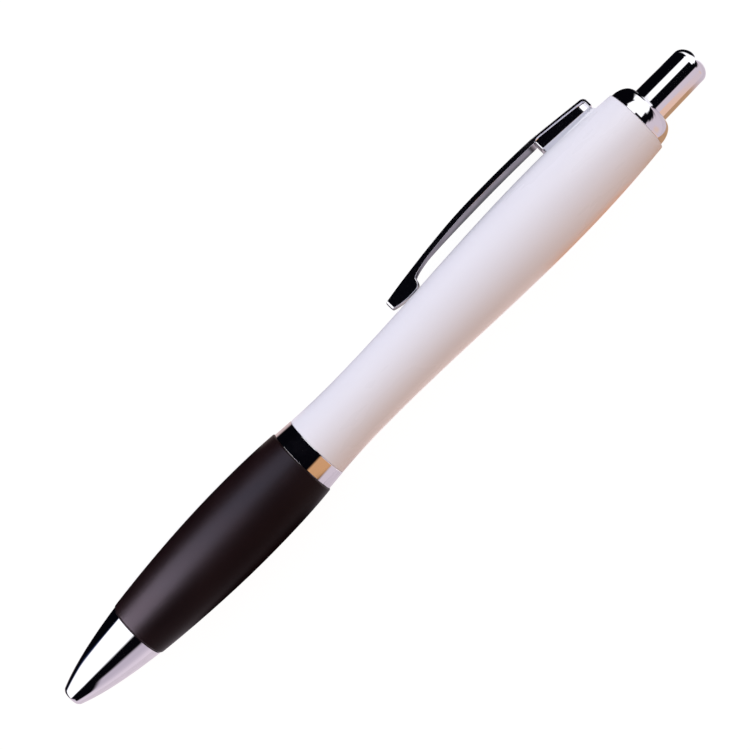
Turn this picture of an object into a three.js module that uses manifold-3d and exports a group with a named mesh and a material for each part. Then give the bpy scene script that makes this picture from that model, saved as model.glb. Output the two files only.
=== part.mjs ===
// Push-button ballpoint pen with a rubber grip, lying on its side.
// Sizes are in millimetres. Inside the pen group the axis is X from the nose to the button, the clip stands
// towards +Y, and a station is a distance along X from the tip of the nose.
import * as THREE from "three";
import { mergeVertices, toCreasedNormals } from "three/addons/utils/BufferGeometryUtils.js";
import Module from "manifold-3d";

const wasm = await Module();
wasm.setup();

// Clearances
const threadClearance = 0.12; // a turning fit
const slideClearance = 0.15; // a fit that slides freely
const pressClearance = 0.05; // a fit that is pushed home and stays
const seatGap = 0.1; // between a piece and the stop that it rests on

// Nose
const noseLength = 15.1;
const noseFaceRadius = 1.45;
const noseEdge = 0.35;
const noseFrontRadius = 1.8;
const noseSwellAt = 5.45; // where the curve's handle lies
const noseSwellRadius = 3.82;
const noseRearRadius = 5.07;
const noseThroatAt = 2.3; // end of the hole that guides the point
const noseThroatTaper = 1.3;
const springSeatAt = 6.8;

// Rubber grip
const gripLength = 37.1;
const gripFrontRadius = 5.22;
const gripBellyAt = 23.4; // from the grip's front
const gripBellyRadius = 6.7;
const gripRearRadius = 6.2;
const gripEdge = 0.2;
const gripFrontPower = 1.8; // how late the grip's bow falls away
const gripRearPower = 2.5;

// Lower barrel, the core under the grip
const coreRadius = 4.35;
const coreSpigotRadius = 3.5;
const coreSpigotLength = 5.3;
const coreFlangeRadius = 5.2;
const coreFlangeLength = 1.3;
const coreWall = 1.15;
const bossRadius = 4.2; // the boss that the upper barrel screws on
const bossLength = 7.8;
const edgeBreak = 0.3; // chamfer on a leading edge

// Centre ring
const ringLength = 3.25;
const ringFrontRadius = 5.97;
const ringRearRadius = 5.72;
const ringEdge = 0.12;

// Upper barrel
const barrelLength = 70.85;
const barrelFrontRadius = 5.7;
const barrelWaistAt = 9.1; // from the barrel's front
const barrelWaistRadius = 5.34;
const barrelBellyAt = 52.1; // from the barrel's front
const barrelBellyRadius = 6.67;
const barrelRearRadius = 5.84;
const barrelRearWall = 0.84;
const barrelWaistWall = 1.24;
const barrelSpigotLength = 1.6; // carries the ring
const barrelSpigotWall = 0.62;
const barrelEdge = 0.22;

// Top collar and button
const collarLength = 3.2;
const collarRadius = 5.36;
const collarSkirtLength = 4;
const collarLedge = 0.1; // how far the stop lies inside the barrel's end
const buttonExposed = 10.5;
const buttonRadius = 3.22;
const buttonEndRadius = 3.1;
const buttonDome = 1.9;
const buttonFlatRadius = 0.9;
const buttonWall = 0.6;
const buttonTopWall = 1.6;

// Click mechanism
const pressStroke = 6; // the button's whole travel
const latchStroke = 4.8; // travel at which the rotor can turn over the ribs
const flangeLip = 0.37; // how far the plunger's flange reaches behind the collar
const flangeLength = 1.6;
const guideWall = 0.45;
const grooveRadius = 3.5;
const grooveDepth = 0.55;
const ribLength = 10.5;
const ribAngle = 38;
const keyAngle = 26; // width of the plunger's splines and the rotor's fins
const keySlant = 0.9; // rise of a slanted end across its width
const keyCount = 4;
const toothCount = 8;
const toothDepth = 1;
const plungerRadius = 2.75;
const plungerCrownLength = 4.9;
const splineSetback = 2;
const splineLength = 3.3;
const rotorRadius = 2.6;
const rotorLength = 7.9;
const rotorPinRadius = 1.6;
const rotorPinLength = 3.2;
const finLength = 2.6;
const cupDepth = 3.6;

// Refill
const pointRecess = 1.6; // from the nose's face back to the ball
const ballRadius = 0.5;
const ballShows = 0.35;
const pointSocketGap = 0.06;
const pointRimRadius = 0.63;
const pointConeLength = 2.65;
const pointRadius = 1.15;
const pointLength = 9;
const pointShankLength = 3.2;
const inkChannelRadius = 0.35;
const refillRadius = 1.5;
const refillBoreRadius = 1.06;
const inkLength = 76;
const followerLength = 4;
const earAt = 32; // where the spring stops against the pinched ears
const earLength = 1.8;
const earRadius = 2.05;
const earThickness = 1.1;

// Spring
const springRadius = 2.15;
const springWireRadius = 0.22;
const springTurns = 11;
const springEndDraw = 0.52; // how much closer the end turns lie than the mean
const leastSpringGap = 0.4;

// Clip
const clipLength = 44.2;
const clipInset = 3.1; // from the clip's heel to the barrel's end
const clipThickness = 0.75;
const clipCrownAt = 23; // from the clip's tip
const clipCrownHeight = 9.53; // heights are taken from the pen's axis
const clipCrownPower = 2.3; // how late the arm bends down to its tip
const clipTipHeight = 7.85;
const clipShoulderHeight = 9.3;
const clipHeelHeight = 8.13;
const clipHeelRadius = 0.8;
const clipTipHalfWidth = 1.35;
const clipHalfWidth = 3.1; // at its widest
const clipFootHalfWidth = 2.8;
const clipWidenFrom = 5.5; // from the clip's tip
const clipWidenTo = 20;
const clipNarrowFrom = 26;
const clipNarrowTo = 34;
const clipEdge = 0.15;
const lobeGap = 0.06; // between the lobe and the barrel
const lobeNoseHeight = 6.4;
const lobeFlatAt = 3.2; // from the clip's tip
const lobeFlatLength = 1.3;
const lobeLength = 6.75;
const footLength = 10.2;
const footPlateThickness = 0.5;
const footHalfWidth = 2.5;
const footSoleHalfWidth = 2.75;
const footSoleHeight = 0.9;
const footCorner = 0.7;
const padRearRadius = 6.36; // the saddle under the foot is a cone: its front meets the barrel
const padHalfWidth = 2.75;
const flatHeight = 5.5; // where the barrel's flat begins, behind the clip
const flatEndHeight = 5.25;
const flatLength = 4.8;
const tongueSetback = 3.4; // from the foot's front
const tongueLength = 4.2;
const tongueHalfWidth = 1.35;
const tongueHook = 0.45;
const tongueHookHeight = 0.35;
const slotClearance = 0.3;
const bandGap = 0.5; // between the slot and the guide tube's rear band
const bandLength = 2;

// Faces on the round and steps along the curves
const shellSegments = 40;
const mechanismSegments = 32;
const refillSegments = 24;
const ballSegments = 14;
const springSteps = 8;
const springSides = 5;
const noseSteps = 9;
const gripFrontSteps = 7;
const gripRearSteps = 5;
const barrelFrontSteps = 4;
const barrelMiddleSteps = 10;
const barrelRearSteps = 6;
const domeSteps = 7;
const armSteps = 14;
const socketSteps = 4;
const outlineSteps = 5;
const mergeDistance = 1e-4;
const creaseAngle = Math.PI / 5;

// Stations along the pen
const gripFront = noseLength;
const gripEnd = gripFront + gripLength;
const gripBelly = gripFront + gripBellyAt;
const ringEnd = gripEnd + ringLength;
const barrelWaist = ringEnd + barrelWaistAt;
const barrelBelly = ringEnd + barrelBellyAt;
const barrelEnd = ringEnd + barrelLength;
const collarEnd = barrelEnd + collarLength;
const buttonEnd = collarEnd + buttonExposed;
const coreFront = gripFront - coreSpigotLength;
const bossEnd = gripEnd + bossLength;
const collarStop = barrelEnd - collarLedge;
const skirtFront = barrelEnd - collarSkirtLength;
const flangeRear = collarStop - seatGap;
const flangeFront = flangeRear - flangeLength;
const ribRear = flangeFront - pressStroke - bandGap;
const ribFront = ribRear - ribLength;
const plungerFront = ribRear - plungerCrownLength;
const rotorRear = plungerFront - toothDepth / 2 - seatGap;
const rotorFront = rotorRear - rotorLength;
const finRear = ribFront + latchStroke;
const guideFront = ribFront - pressStroke;
const refillRear = rotorFront + cupDepth;
const inkFront = pointRecess + pointLength + pointShankLength + seatGap;
const clipTip = barrelEnd - clipInset - clipLength;
const clipHeel = barrelEnd - clipInset;
const footFront = clipHeel - footLength;
const tongueFront = footFront + tongueSetback;
const tongueRear = tongueFront + tongueLength;
const slotFront = tongueFront - slotClearance;
const slotRear = tongueRear + tongueHook + slotClearance;

// Radii that follow from the fits
const pointHoleRadius = pointRadius + slideClearance;
const throatRadius = refillRadius + 1.5 * slideClearance;
const chamberRadius = springRadius + 1.5 * slideClearance;
const gripBoreRadius = coreRadius + pressClearance;
const coreBoreRadius = coreRadius - coreWall;
const threadBoreRadius = bossRadius + threadClearance;
const barrelSpigotRadius = threadBoreRadius + barrelSpigotWall;
const rearBoreRadius = barrelRearRadius - barrelRearWall;
const waistBoreRadius = barrelWaistRadius - barrelWaistWall;
const collarBoreRadius = buttonRadius + slideClearance;
const flangeRadius = collarBoreRadius + flangeLip;
const counterboreRadius = flangeRadius + slideClearance;
const guideRadius = counterboreRadius + guideWall;
const ribRadius = grooveRadius - grooveDepth;
const keyRadius = grooveRadius - slideClearance;
const buttonBoreRadius = buttonEndRadius - buttonWall;
const stemRadius = buttonBoreRadius - pressClearance;
const cupRadius = refillRadius + slideClearance;
const inkRadius = refillBoreRadius - pressClearance;

// Turns a closed three.js geometry into a solid.
function solidOf(geometry) {
  const bare = geometry.clone();
  bare.deleteAttribute("normal");
  bare.deleteAttribute("uv");
  const merged = mergeVertices(bare, mergeDistance);
  const corners = merged.index.array;
  const kept = [];
  for (let i = 0; i < corners.length; i += 3) {
    const [a, b, c] = [corners[i], corners[i + 1], corners[i + 2]];
    if (a !== b && b !== c && c !== a) kept.push(a, b, c);
  }
  return new wasm.Manifold(
    new wasm.Mesh({
      numProp: 3,
      vertProperties: merged.attributes.position.array,
      triVerts: new Uint32Array(kept),
    }),
  );
}

// Turns a solid back into a geometry that shades its rounds softly and its edges sharply.
function geometryOf(solid) {
  const mesh = solid.getMesh();
  const geometry = new THREE.BufferGeometry();
  geometry.setAttribute("position", new THREE.BufferAttribute(mesh.vertProperties, mesh.numProp));
  geometry.setIndex(new THREE.BufferAttribute(mesh.triVerts, 1));
  return toCreasedNormals(geometry, creaseAngle);
}

// A profile is a list of [station, radius] points: the outside from front to rear, then the inside back again.
function revolve(profile, segments) {
  const points = profile.map(([station, radius]) => new THREE.Vector2(radius, station));
  const geometry = new THREE.LatheGeometry(points, segments);
  geometry.rotateZ(-Math.PI / 2);
  return geometry;
}

// A tube's profile ends where it began.
function closed(profile) {
  return [...profile, profile[0]];
}

// Points from [flatX, flatR], where the curve runs level, to [endX, endR].
function bow(flatX, flatR, endX, endR, power, steps) {
  const points = [];
  for (let i = 0; i <= steps; i++) {
    const share = i / steps;
    points.push([flatX + (endX - flatX) * share, flatR + (endR - flatR) * share ** power]);
  }
  return points;
}

// Points on an S that runs level at both of its ends.
function ease(fromX, fromR, toX, toR, steps) {
  const points = [];
  for (let i = 0; i <= steps; i++) {
    const share = i / steps;
    const rise = (1 - Math.cos(Math.PI * share)) / 2;
    points.push([fromX + (toX - fromX) * share, fromR + (toR - fromR) * rise]);
  }
  return points;
}

// Points on a quarter ellipse that leaves along the axis and turns square to it, up to a flat of endR.
function shoulder(fromX, fromR, toX, toR, endR, steps) {
  const last = Math.acos((endR - toR) / (fromR - toR));
  const reach = Math.sin(last);
  const points = [];
  for (let i = 0; i <= steps; i++) {
    const angle = (last * i) / steps;
    const along = Math.sin(angle) / reach;
    points.push([fromX + (toX - fromX) * along, toR + (fromR - toR) * Math.cos(angle)]);
  }
  return points;
}

// A prism between two flat ends, from an outline in X and Y, centred on Z.
function prism(shape, halfWidth, edge = 0) {
  const geometry = new THREE.ExtrudeGeometry(shape, {
    depth: 2 * (halfWidth - edge),
    bevelEnabled: edge > 0,
    bevelThickness: edge,
    bevelSize: edge,
    bevelOffset: -edge,
    bevelSegments: 1,
    curveSegments: outlineSteps,
  });
  return geometry.translate(0, 0, edge - halfWidth);
}

function block(fromX, toX, fromY, toY, halfWidth) {
  const geometry = new THREE.BoxGeometry(toX - fromX, toY - fromY, 2 * halfWidth);
  return geometry.translate((fromX + toX) / 2, (fromY + toY) / 2, 0);
}

// A rib, spline or fin along the pen: a ring's sector between two stations, with slanted ends if asked.
function sectorBar({ inner, outer, angle, from, to, slantFront = 0, slantRear = 0 }) {
  const half = THREE.MathUtils.degToRad(angle) / 2;
  const shape = new THREE.Shape();
  shape.absarc(0, 0, outer, -half, half, false);
  shape.absarc(0, 0, inner, half, -half, true);
  const geometry = new THREE.ExtrudeGeometry(shape, {
    depth: to - from,
    bevelEnabled: false,
    curveSegments: socketSteps,
  });
  const position = geometry.attributes.position;
  for (let i = 0; i < position.count; i++) {
    const across = Math.atan2(position.getY(i), position.getX(i)) / half;
    const slant = position.getZ(i) > 0 ? slantRear : slantFront;
    position.setZ(i, position.getZ(i) + (slant * across) / 2);
  }
  return geometry.rotateY(Math.PI / 2).translate(from, 0, 0);
}

// The same bar at even angles round the pen, joined to the body that carries it.
function withBars(body, bar, firstAngle) {
  let joined = body;
  for (let i = 0; i < keyCount; i++) {
    const turn = THREE.MathUtils.degToRad(firstAngle) + (2 * Math.PI * i) / keyCount;
    joined = joined.add(solidOf(sectorBar(bar).rotateX(turn)));
  }
  return joined;
}

// Draws the vertices that lie at one station into a crown of pointed teeth.
function cutTeeth(geometry, station, toothShift) {
  const position = geometry.attributes.position;
  for (let i = 0; i < position.count; i++) {
    const atStation = Math.abs(position.getX(i) - station) < mergeDistance;
    const radius = Math.hypot(position.getY(i), position.getZ(i));
    if (!atStation || radius < mergeDistance) continue;
    const turn = Math.atan2(position.getY(i), position.getZ(i)) / (2 * Math.PI);
    const phase = THREE.MathUtils.euclideanModulo(turn * toothCount + toothShift, 1);
    const height = 1 - Math.abs(2 * phase - 1);
    position.setX(i, station - toothDepth * height);
  }
  return geometry;
}

function noseCone() {
  const curve = new THREE.QuadraticBezierCurve(
    new THREE.Vector2(noseEdge, noseFrontRadius),
    new THREE.Vector2(noseSwellAt, noseSwellRadius),
    new THREE.Vector2(noseLength - ringEdge, noseRearRadius),
  );
  const side = curve.getPoints(noseSteps).map((point) => [point.x, point.y]);
  const socketFront = coreFront - slideClearance;
  const socketRadius = coreSpigotRadius + pressClearance;
  const profile = [
    [0, pointHoleRadius],
    [0, noseFaceRadius],
    [noseEdge / 4, noseFrontRadius - noseEdge / 3],
    ...side,
    [noseLength, noseRearRadius - ringEdge],
    [noseLength, socketRadius],
    [socketFront, socketRadius],
    [socketFront, chamberRadius],
    [springSeatAt, chamberRadius],
    [springSeatAt, throatRadius],
    [noseThroatAt + noseThroatTaper, throatRadius],
    [noseThroatAt, pointHoleRadius],
  ];
  return solidOf(revolve(closed(profile), shellSegments));
}

function gripSleeve() {
  const frontAt = gripFront + gripEdge;
  const rearAt = gripEnd - gripEdge;
  const front = bow(gripBelly, gripBellyRadius, frontAt, gripFrontRadius, gripFrontPower, gripFrontSteps);
  const rear = bow(gripBelly, gripBellyRadius, rearAt, gripRearRadius, gripRearPower, gripRearSteps);
  const pocketRadius = coreFlangeRadius + pressClearance;
  const pocketFront = gripEnd - coreFlangeLength;
  const profile = [
    [gripFront, gripFrontRadius - gripEdge],
    ...front.reverse(),
    ...rear.slice(1),
    [gripEnd, gripRearRadius - gripEdge],
    [gripEnd, pocketRadius],
    [pocketFront, pocketRadius],
    [pocketFront, gripBoreRadius],
    [gripFront, gripBoreRadius],
  ];
  return solidOf(revolve(closed(profile), shellSegments));
}

function lowerBarrel() {
  const flangeFace = gripEnd - coreFlangeLength;
  const boreStep = earAt + earLength + pressStroke;
  const profile = [
    [coreFront, coreSpigotRadius - edgeBreak],
    [coreFront + edgeBreak, coreSpigotRadius],
    [gripFront, coreSpigotRadius],
    [gripFront, coreRadius],
    [flangeFace, coreRadius],
    [flangeFace, coreFlangeRadius],
    [gripEnd, coreFlangeRadius],
    [gripEnd, bossRadius],
    [bossEnd - edgeBreak, bossRadius],
    [bossEnd, bossRadius - edgeBreak],
    [bossEnd, coreBoreRadius],
    [boreStep, coreBoreRadius],
    [boreStep, chamberRadius],
    [coreFront, chamberRadius],
  ];
  return solidOf(revolve(closed(profile), shellSegments));
}

function centreRing() {
  const pocketRadius = barrelSpigotRadius + threadClearance;
  const pocketFront = ringEnd - barrelSpigotLength - seatGap;
  const profile = [
    [gripEnd, ringFrontRadius - ringEdge],
    [gripEnd + ringEdge, ringFrontRadius],
    [ringEnd - ringEdge, ringRearRadius],
    [ringEnd, ringRearRadius - ringEdge],
    [ringEnd, pocketRadius],
    [pocketFront, pocketRadius],
    [pocketFront, threadBoreRadius],
    [gripEnd, threadBoreRadius],
  ];
  return solidOf(revolve(closed(profile), shellSegments));
}

// The saddle that carries the clip's foot, grown outwards by a clearance.
function padProfile(extra) {
  const front = [footFront, padFrontRadius() + extra];
  const rear = [clipHeel, padRearRadius + extra];
  return [[footFront, 0], front, rear, [clipHeel, 0]];
}

// Where the foot begins, the saddle meets the barrel.
function padFrontRadius() {
  const share = (footFront - barrelBelly) / (barrelEnd - barrelEdge - barrelBelly);
  return barrelBellyRadius + (barrelRearRadius - barrelBellyRadius) * share ** 2;
}

function upperBarrel() {
  const frontAt = ringEnd + barrelEdge;
  const front = bow(barrelWaist, barrelWaistRadius, frontAt, barrelFrontRadius, 2, barrelFrontSteps).reverse();
  const middle = ease(barrelWaist, barrelWaistRadius, barrelBelly, barrelBellyRadius, barrelMiddleSteps);
  const rearAt = barrelEnd - barrelEdge;
  const rear = bow(barrelBelly, barrelBellyRadius, rearAt, barrelRearRadius, 2, barrelRearSteps);
  const spigotFront = ringEnd - barrelSpigotLength;
  const threadEnd = bossEnd + edgeBreak;
  const ledgeRadius = rearBoreRadius - 2 * barrelEdge;
  const profile = [
    [spigotFront, barrelSpigotRadius],
    [ringEnd, barrelSpigotRadius],
    [ringEnd, barrelFrontRadius - barrelEdge],
    ...front,
    ...middle.slice(1),
    ...rear.slice(1),
    [barrelEnd, barrelRearRadius - barrelEdge],
    [barrelEnd, rearBoreRadius],
    [guideFront, rearBoreRadius],
    [guideFront, ledgeRadius],
    [barrelWaist + 2 * barrelWaistAt, ledgeRadius],
    [barrelWaist, waistBoreRadius],
    [threadEnd, waistBoreRadius],
    [threadEnd, threadBoreRadius],
    [spigotFront, threadBoreRadius],
  ];
  const tube = solidOf(revolve(closed(profile), shellSegments));
  const flat = new THREE.Shape();
  flat.moveTo(barrelEnd - flatLength, flatHeight);
  flat.lineTo(clipHeel, flatHeight);
  flat.lineTo(barrelEnd, flatEndHeight);
  flat.lineTo(barrelEnd, clipCrownHeight);
  flat.lineTo(barrelEnd - flatLength, clipCrownHeight);
  flat.closePath();
  const padBox = block(footFront, clipHeel, flatHeight - barrelRearWall / 2, clipCrownHeight, padHalfWidth);
  const pad = solidOf(revolve(padProfile(0), shellSegments)).intersect(solidOf(padBox));
  const slot = block(slotFront, slotRear, guideRadius, clipCrownHeight, tongueHalfWidth + slotClearance);
  return tube.subtract(solidOf(prism(flat, barrelBellyRadius))).add(pad).subtract(solidOf(slot));
}

function guideTube() {
  const bandRadius = rearBoreRadius - pressClearance;
  const rearBandFront = slotRear + bandGap;
  const profile = [
    [guideFront, bandRadius],
    [guideFront + bandLength, bandRadius],
    [guideFront + bandLength, guideRadius],
    [rearBandFront, guideRadius],
    [rearBandFront, bandRadius],
    [skirtFront, bandRadius],
    [skirtFront, counterboreRadius],
    [ribRear, counterboreRadius],
    [ribRear, grooveRadius],
    [guideFront, grooveRadius],
  ];
  const tube = solidOf(revolve(closed(profile), mechanismSegments));
  const rib = {
    inner: ribRadius,
    outer: grooveRadius + guideWall / 2,
    angle: ribAngle,
    from: ribFront,
    to: ribRear,
    slantFront: keySlant,
  };
  return withBars(tube, rib, 0);
}

function plunger() {
  const boreEnd = plungerFront + rotorPinLength + pressStroke / 4;
  const boreRadius = rotorPinRadius + slideClearance;
  const stemEnd = buttonEnd - buttonTopWall - seatGap;
  const profile = [
    [boreEnd, 0],
    [boreEnd, boreRadius],
    [plungerFront, boreRadius],
    [plungerFront, plungerRadius],
    [flangeFront, plungerRadius],
    [flangeFront, flangeRadius],
    [flangeRear, flangeRadius],
    [flangeRear, stemRadius],
    [stemEnd - edgeBreak, stemRadius],
    [stemEnd, stemRadius - edgeBreak],
    [stemEnd, 0],
  ];
  const body = solidOf(cutTeeth(revolve(profile, mechanismSegments), plungerFront, 0));
  const spline = {
    inner: plungerRadius - grooveDepth,
    outer: keyRadius,
    angle: keyAngle,
    from: plungerFront + splineSetback,
    to: plungerFront + splineSetback + splineLength,
  };
  return withBars(body, spline, 180 / keyCount);
}

function camRotor() {
  const profile = [
    [refillRear, 0],
    [refillRear, cupRadius],
    [rotorFront, cupRadius],
    [rotorFront, rotorRadius - edgeBreak],
    [rotorFront + edgeBreak, rotorRadius],
    [rotorRear, rotorRadius],
    [rotorRear, rotorPinRadius],
    [rotorRear + rotorPinLength - edgeBreak, rotorPinRadius],
    [rotorRear + rotorPinLength, rotorPinRadius - edgeBreak],
    [rotorRear + rotorPinLength, 0],
  ];
  const quarterTooth = 0.25;
  const body = solidOf(cutTeeth(revolve(profile, mechanismSegments), rotorRear, quarterTooth));
  const fin = {
    inner: rotorRadius - grooveDepth,
    outer: keyRadius,
    angle: keyAngle,
    from: finRear - finLength,
    to: finRear - keySlant / 2,
    slantRear: keySlant,
  };
  return withBars(body, fin, 180 / keyCount);
}

function topCollar() {
  const skirtRadius = rearBoreRadius - pressClearance;
  const lipRadius = collarBoreRadius + ringEdge;
  const dome = shoulder(barrelEnd, collarRadius, collarEnd, collarBoreRadius, lipRadius, domeSteps);
  const profile = [
    [skirtFront, skirtRadius],
    [barrelEnd, skirtRadius],
    ...dome,
    [collarEnd, collarBoreRadius],
    [collarStop, collarBoreRadius],
    [collarStop, counterboreRadius],
    [skirtFront, counterboreRadius],
  ];
  return solidOf(revolve(closed(profile), shellSegments));
}

function pushButton() {
  const boreEnd = buttonEnd - buttonTopWall;
  const dome = shoulder(buttonEnd - buttonDome, buttonEndRadius, buttonEnd, 0, buttonFlatRadius, domeSteps);
  const profile = [
    [boreEnd, 0],
    [boreEnd, buttonBoreRadius],
    [flangeRear, buttonBoreRadius],
    [flangeRear, buttonRadius - ringEdge],
    [flangeRear + ringEdge, buttonRadius],
    [collarEnd, buttonRadius],
    ...dome,
    [buttonEnd, 0],
  ];
  return solidOf(revolve(profile, shellSegments));
}

function refillTube() {
  const tubeFront = pointRecess + pointLength;
  const tubeRear = refillRear - seatGap;
  const profile = [
    [tubeFront, refillRadius],
    [tubeRear, refillRadius],
    [tubeRear, refillBoreRadius],
    [tubeFront, refillBoreRadius],
  ];
  const ear = new THREE.Shape();
  ear.moveTo(earAt, refillBoreRadius + pressClearance);
  ear.lineTo(earAt + earLength, refillBoreRadius + pressClearance);
  ear.lineTo(earAt + earLength / 3, earRadius);
  ear.lineTo(earAt, earRadius);
  ear.closePath();
  const upper = prism(ear, earThickness / 2);
  const lower = upper.clone().rotateX(Math.PI);
  const tube = solidOf(revolve(closed(profile), refillSegments));
  return tube.add(solidOf(upper)).add(solidOf(lower));
}

function cylinder(from, to, radius) {
  const profile = [
    [from, 0],
    [from, radius],
    [to, radius],
    [to, 0],
  ];
  return solidOf(revolve(profile, refillSegments));
}

function refillInk() {
  return cylinder(inkFront, inkFront + inkLength, inkRadius);
}

function inkFollower() {
  const front = inkFront + inkLength + seatGap;
  return cylinder(front, front + followerLength, inkRadius);
}

function refillPoint() {
  const rim = pointRecess + ballShows;
  const ballCentre = pointRecess + ballRadius;
  const socketRadius = ballRadius + pointSocketGap;
  const body = pointRecess + pointLength;
  const socket = [];
  const first = Math.asin((rim - ballCentre) / socketRadius);
  const last = Math.acos(inkChannelRadius / socketRadius);
  for (let i = 0; i <= socketSteps; i++) {
    const angle = last + ((first - last) * i) / socketSteps;
    socket.push([ballCentre + socketRadius * Math.sin(angle), socketRadius * Math.cos(angle)]);
  }
  const profile = [
    [rim, pointRimRadius],
    [rim + pointConeLength, pointRadius],
    [body - seatGap, pointRadius],
    [body - seatGap, inkRadius],
    [body + pointShankLength, inkRadius],
    [body + pointShankLength, inkChannelRadius],
    ...socket,
  ];
  return solidOf(revolve(closed(profile), refillSegments));
}

function writingBall() {
  const ball = new THREE.SphereGeometry(ballRadius, ballSegments, ballSegments / 2);
  return solidOf(ball.translate(pointRecess + ballRadius, 0, 0));
}

// The spring's centre line: a helix whose end turns lie closer together.
function springPoint(turns) {
  const from = springSeatAt + seatGap + springWireRadius;
  const to = earAt - seatGap - springWireRadius;
  const share = turns / springTurns;
  const drawn = share - (springEndDraw * Math.sin(2 * Math.PI * share)) / (2 * Math.PI);
  const angle = 2 * Math.PI * turns;
  const radius = springRadius - springWireRadius;
  return new THREE.Vector3(from + (to - from) * drawn, radius * Math.cos(angle), radius * Math.sin(angle));
}

// The least distance between the wire's surfaces where it passes itself one turn further on.
function springSelfGap() {
  let least = Infinity;
  const samples = springTurns * springSteps;
  for (let i = 0; i <= samples; i++) {
    for (let j = i + springSteps / 2; j <= samples; j++) {
      const gap = springPoint(i / springSteps).distanceTo(springPoint(j / springSteps));
      least = Math.min(least, gap - 2 * springWireRadius);
    }
  }
  return least;
}

function returnSpring() {
  const rings = springTurns * springSteps;
  const positions = [];
  const index = [];
  for (let i = 0; i <= rings; i++) {
    const turns = i / springSteps;
    const centre = springPoint(turns);
    const step = 1e-3;
    const tangent = springPoint(turns + step).sub(springPoint(turns - step)).normalize();
    const angle = 2 * Math.PI * turns;
    const outward = new THREE.Vector3(0, Math.cos(angle), Math.sin(angle));
    const sideways = tangent.clone().cross(outward).normalize();
    for (let j = 0; j < springSides; j++) {
      const around = (2 * Math.PI * j) / springSides;
      const point = centre
        .clone()
        .addScaledVector(outward, springWireRadius * Math.cos(around))
        .addScaledVector(sideways, springWireRadius * Math.sin(around));
      positions.push(point.x, point.y, point.z);
    }
  }
  for (let i = 0; i < rings; i++) {
    for (let j = 0; j < springSides; j++) {
      const a = i * springSides + j;
      const b = i * springSides + ((j + 1) % springSides);
      index.push(a, b, a + springSides);
      index.push(b, b + springSides, a + springSides);
    }
  }
  const lastRing = rings * springSides;
  for (let j = 1; j < springSides - 1; j++) {
    index.push(0, j + 1, j);
    index.push(lastRing, lastRing + j, lastRing + j + 1);
  }
  const geometry = new THREE.BufferGeometry();
  geometry.setAttribute("position", new THREE.Float32BufferAttribute(positions, 3));
  geometry.setIndex(index);
  return solidOf(geometry);
}

// The height of the clip's outer face at a distance from its tip.
function clipHeight(along) {
  if (along < clipCrownAt) {
    const share = (clipCrownAt - along) / clipCrownAt;
    return clipCrownHeight - (clipCrownHeight - clipTipHeight) * share ** clipCrownPower;
  }
  const share = (along - clipCrownAt) / (clipLength - footLength - clipCrownAt);
  return clipCrownHeight - (clipCrownHeight - clipShoulderHeight) * share ** 2;
}

// The clip seen from the side: its arm, the lobe under its tip and the plate over its foot.
function clipOutline() {
  const heelX = clipHeel - clipHeelRadius;
  const lobeBottom = barrelRadiusAt(clipTip + lobeFlatAt + lobeFlatLength) + lobeGap;
  const outline = new THREE.Shape();
  outline.moveTo(clipTip, (lobeNoseHeight + clipTipHeight) / 2);
  outline.quadraticCurveTo(clipTip, clipHeight(0), clipTip + clipThickness, clipHeight(clipThickness));
  for (let i = 1; i <= armSteps; i++) {
    const along = clipThickness + ((clipLength - footLength - clipThickness) * i) / armSteps;
    outline.lineTo(clipTip + along, clipHeight(along));
  }
  outline.lineTo(heelX, clipHeelHeight);
  outline.quadraticCurveTo(clipHeel, clipHeelHeight, clipHeel, clipHeelHeight - clipHeelRadius);
  outline.lineTo(clipHeel, padRearRadius);
  outline.lineTo(clipHeel - footPlateThickness, padRearRadius);
  outline.lineTo(clipHeel - footPlateThickness, clipHeelHeight - 2 * footPlateThickness);
  outline.lineTo(footFront + footCorner, clipShoulderHeight - 2 * footPlateThickness);
  for (let i = armSteps; i >= 1; i--) {
    const along = lobeLength + ((clipLength - footLength - lobeLength) * i) / armSteps;
    outline.lineTo(clipTip + along, clipHeight(along) - clipThickness);
  }
  const backX = clipTip + lobeLength - clipThickness;
  const backTop = clipHeight(lobeLength) - clipThickness;
  const flatEnd = clipTip + lobeFlatAt + lobeFlatLength;
  outline.quadraticCurveTo(backX, backTop, backX, lobeNoseHeight + clipThickness);
  outline.quadraticCurveTo(backX, lobeBottom, flatEnd, lobeBottom);
  outline.lineTo(clipTip + lobeFlatAt, lobeBottom);
  outline.lineTo(clipTip + clipThickness / 2, lobeNoseHeight);
  outline.quadraticCurveTo(clipTip, lobeNoseHeight, clipTip, (lobeNoseHeight + clipTipHeight) / 2);
  return outline;
}

function barrelRadiusAt(station) {
  const share = THREE.MathUtils.clamp((station - barrelWaist) / (barrelBelly - barrelWaist), 0, 1);
  const rise = (1 - Math.cos(Math.PI * share)) / 2;
  return barrelWaistRadius + (barrelBellyRadius - barrelWaistRadius) * rise;
}

// Draws the sides of a full-width clip in towards its tip, and a little towards its foot.
function taperSides(geometry) {
  const position = geometry.attributes.position;
  for (let i = 0; i < position.count; i++) {
    const along = position.getX(i) - clipTip;
    const widened = THREE.MathUtils.smoothstep(along, clipWidenFrom, clipWidenTo);
    const narrowed = THREE.MathUtils.smoothstep(along, clipNarrowFrom, clipNarrowTo);
    const fromTip = (clipHalfWidth - clipTipHalfWidth) * (1 - widened);
    const drawIn = fromTip + (clipHalfWidth - clipFootHalfWidth) * narrowed;
    position.setZ(i, position.getZ(i) - Math.sign(position.getZ(i)) * drawIn);
  }
  return geometry;
}

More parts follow.
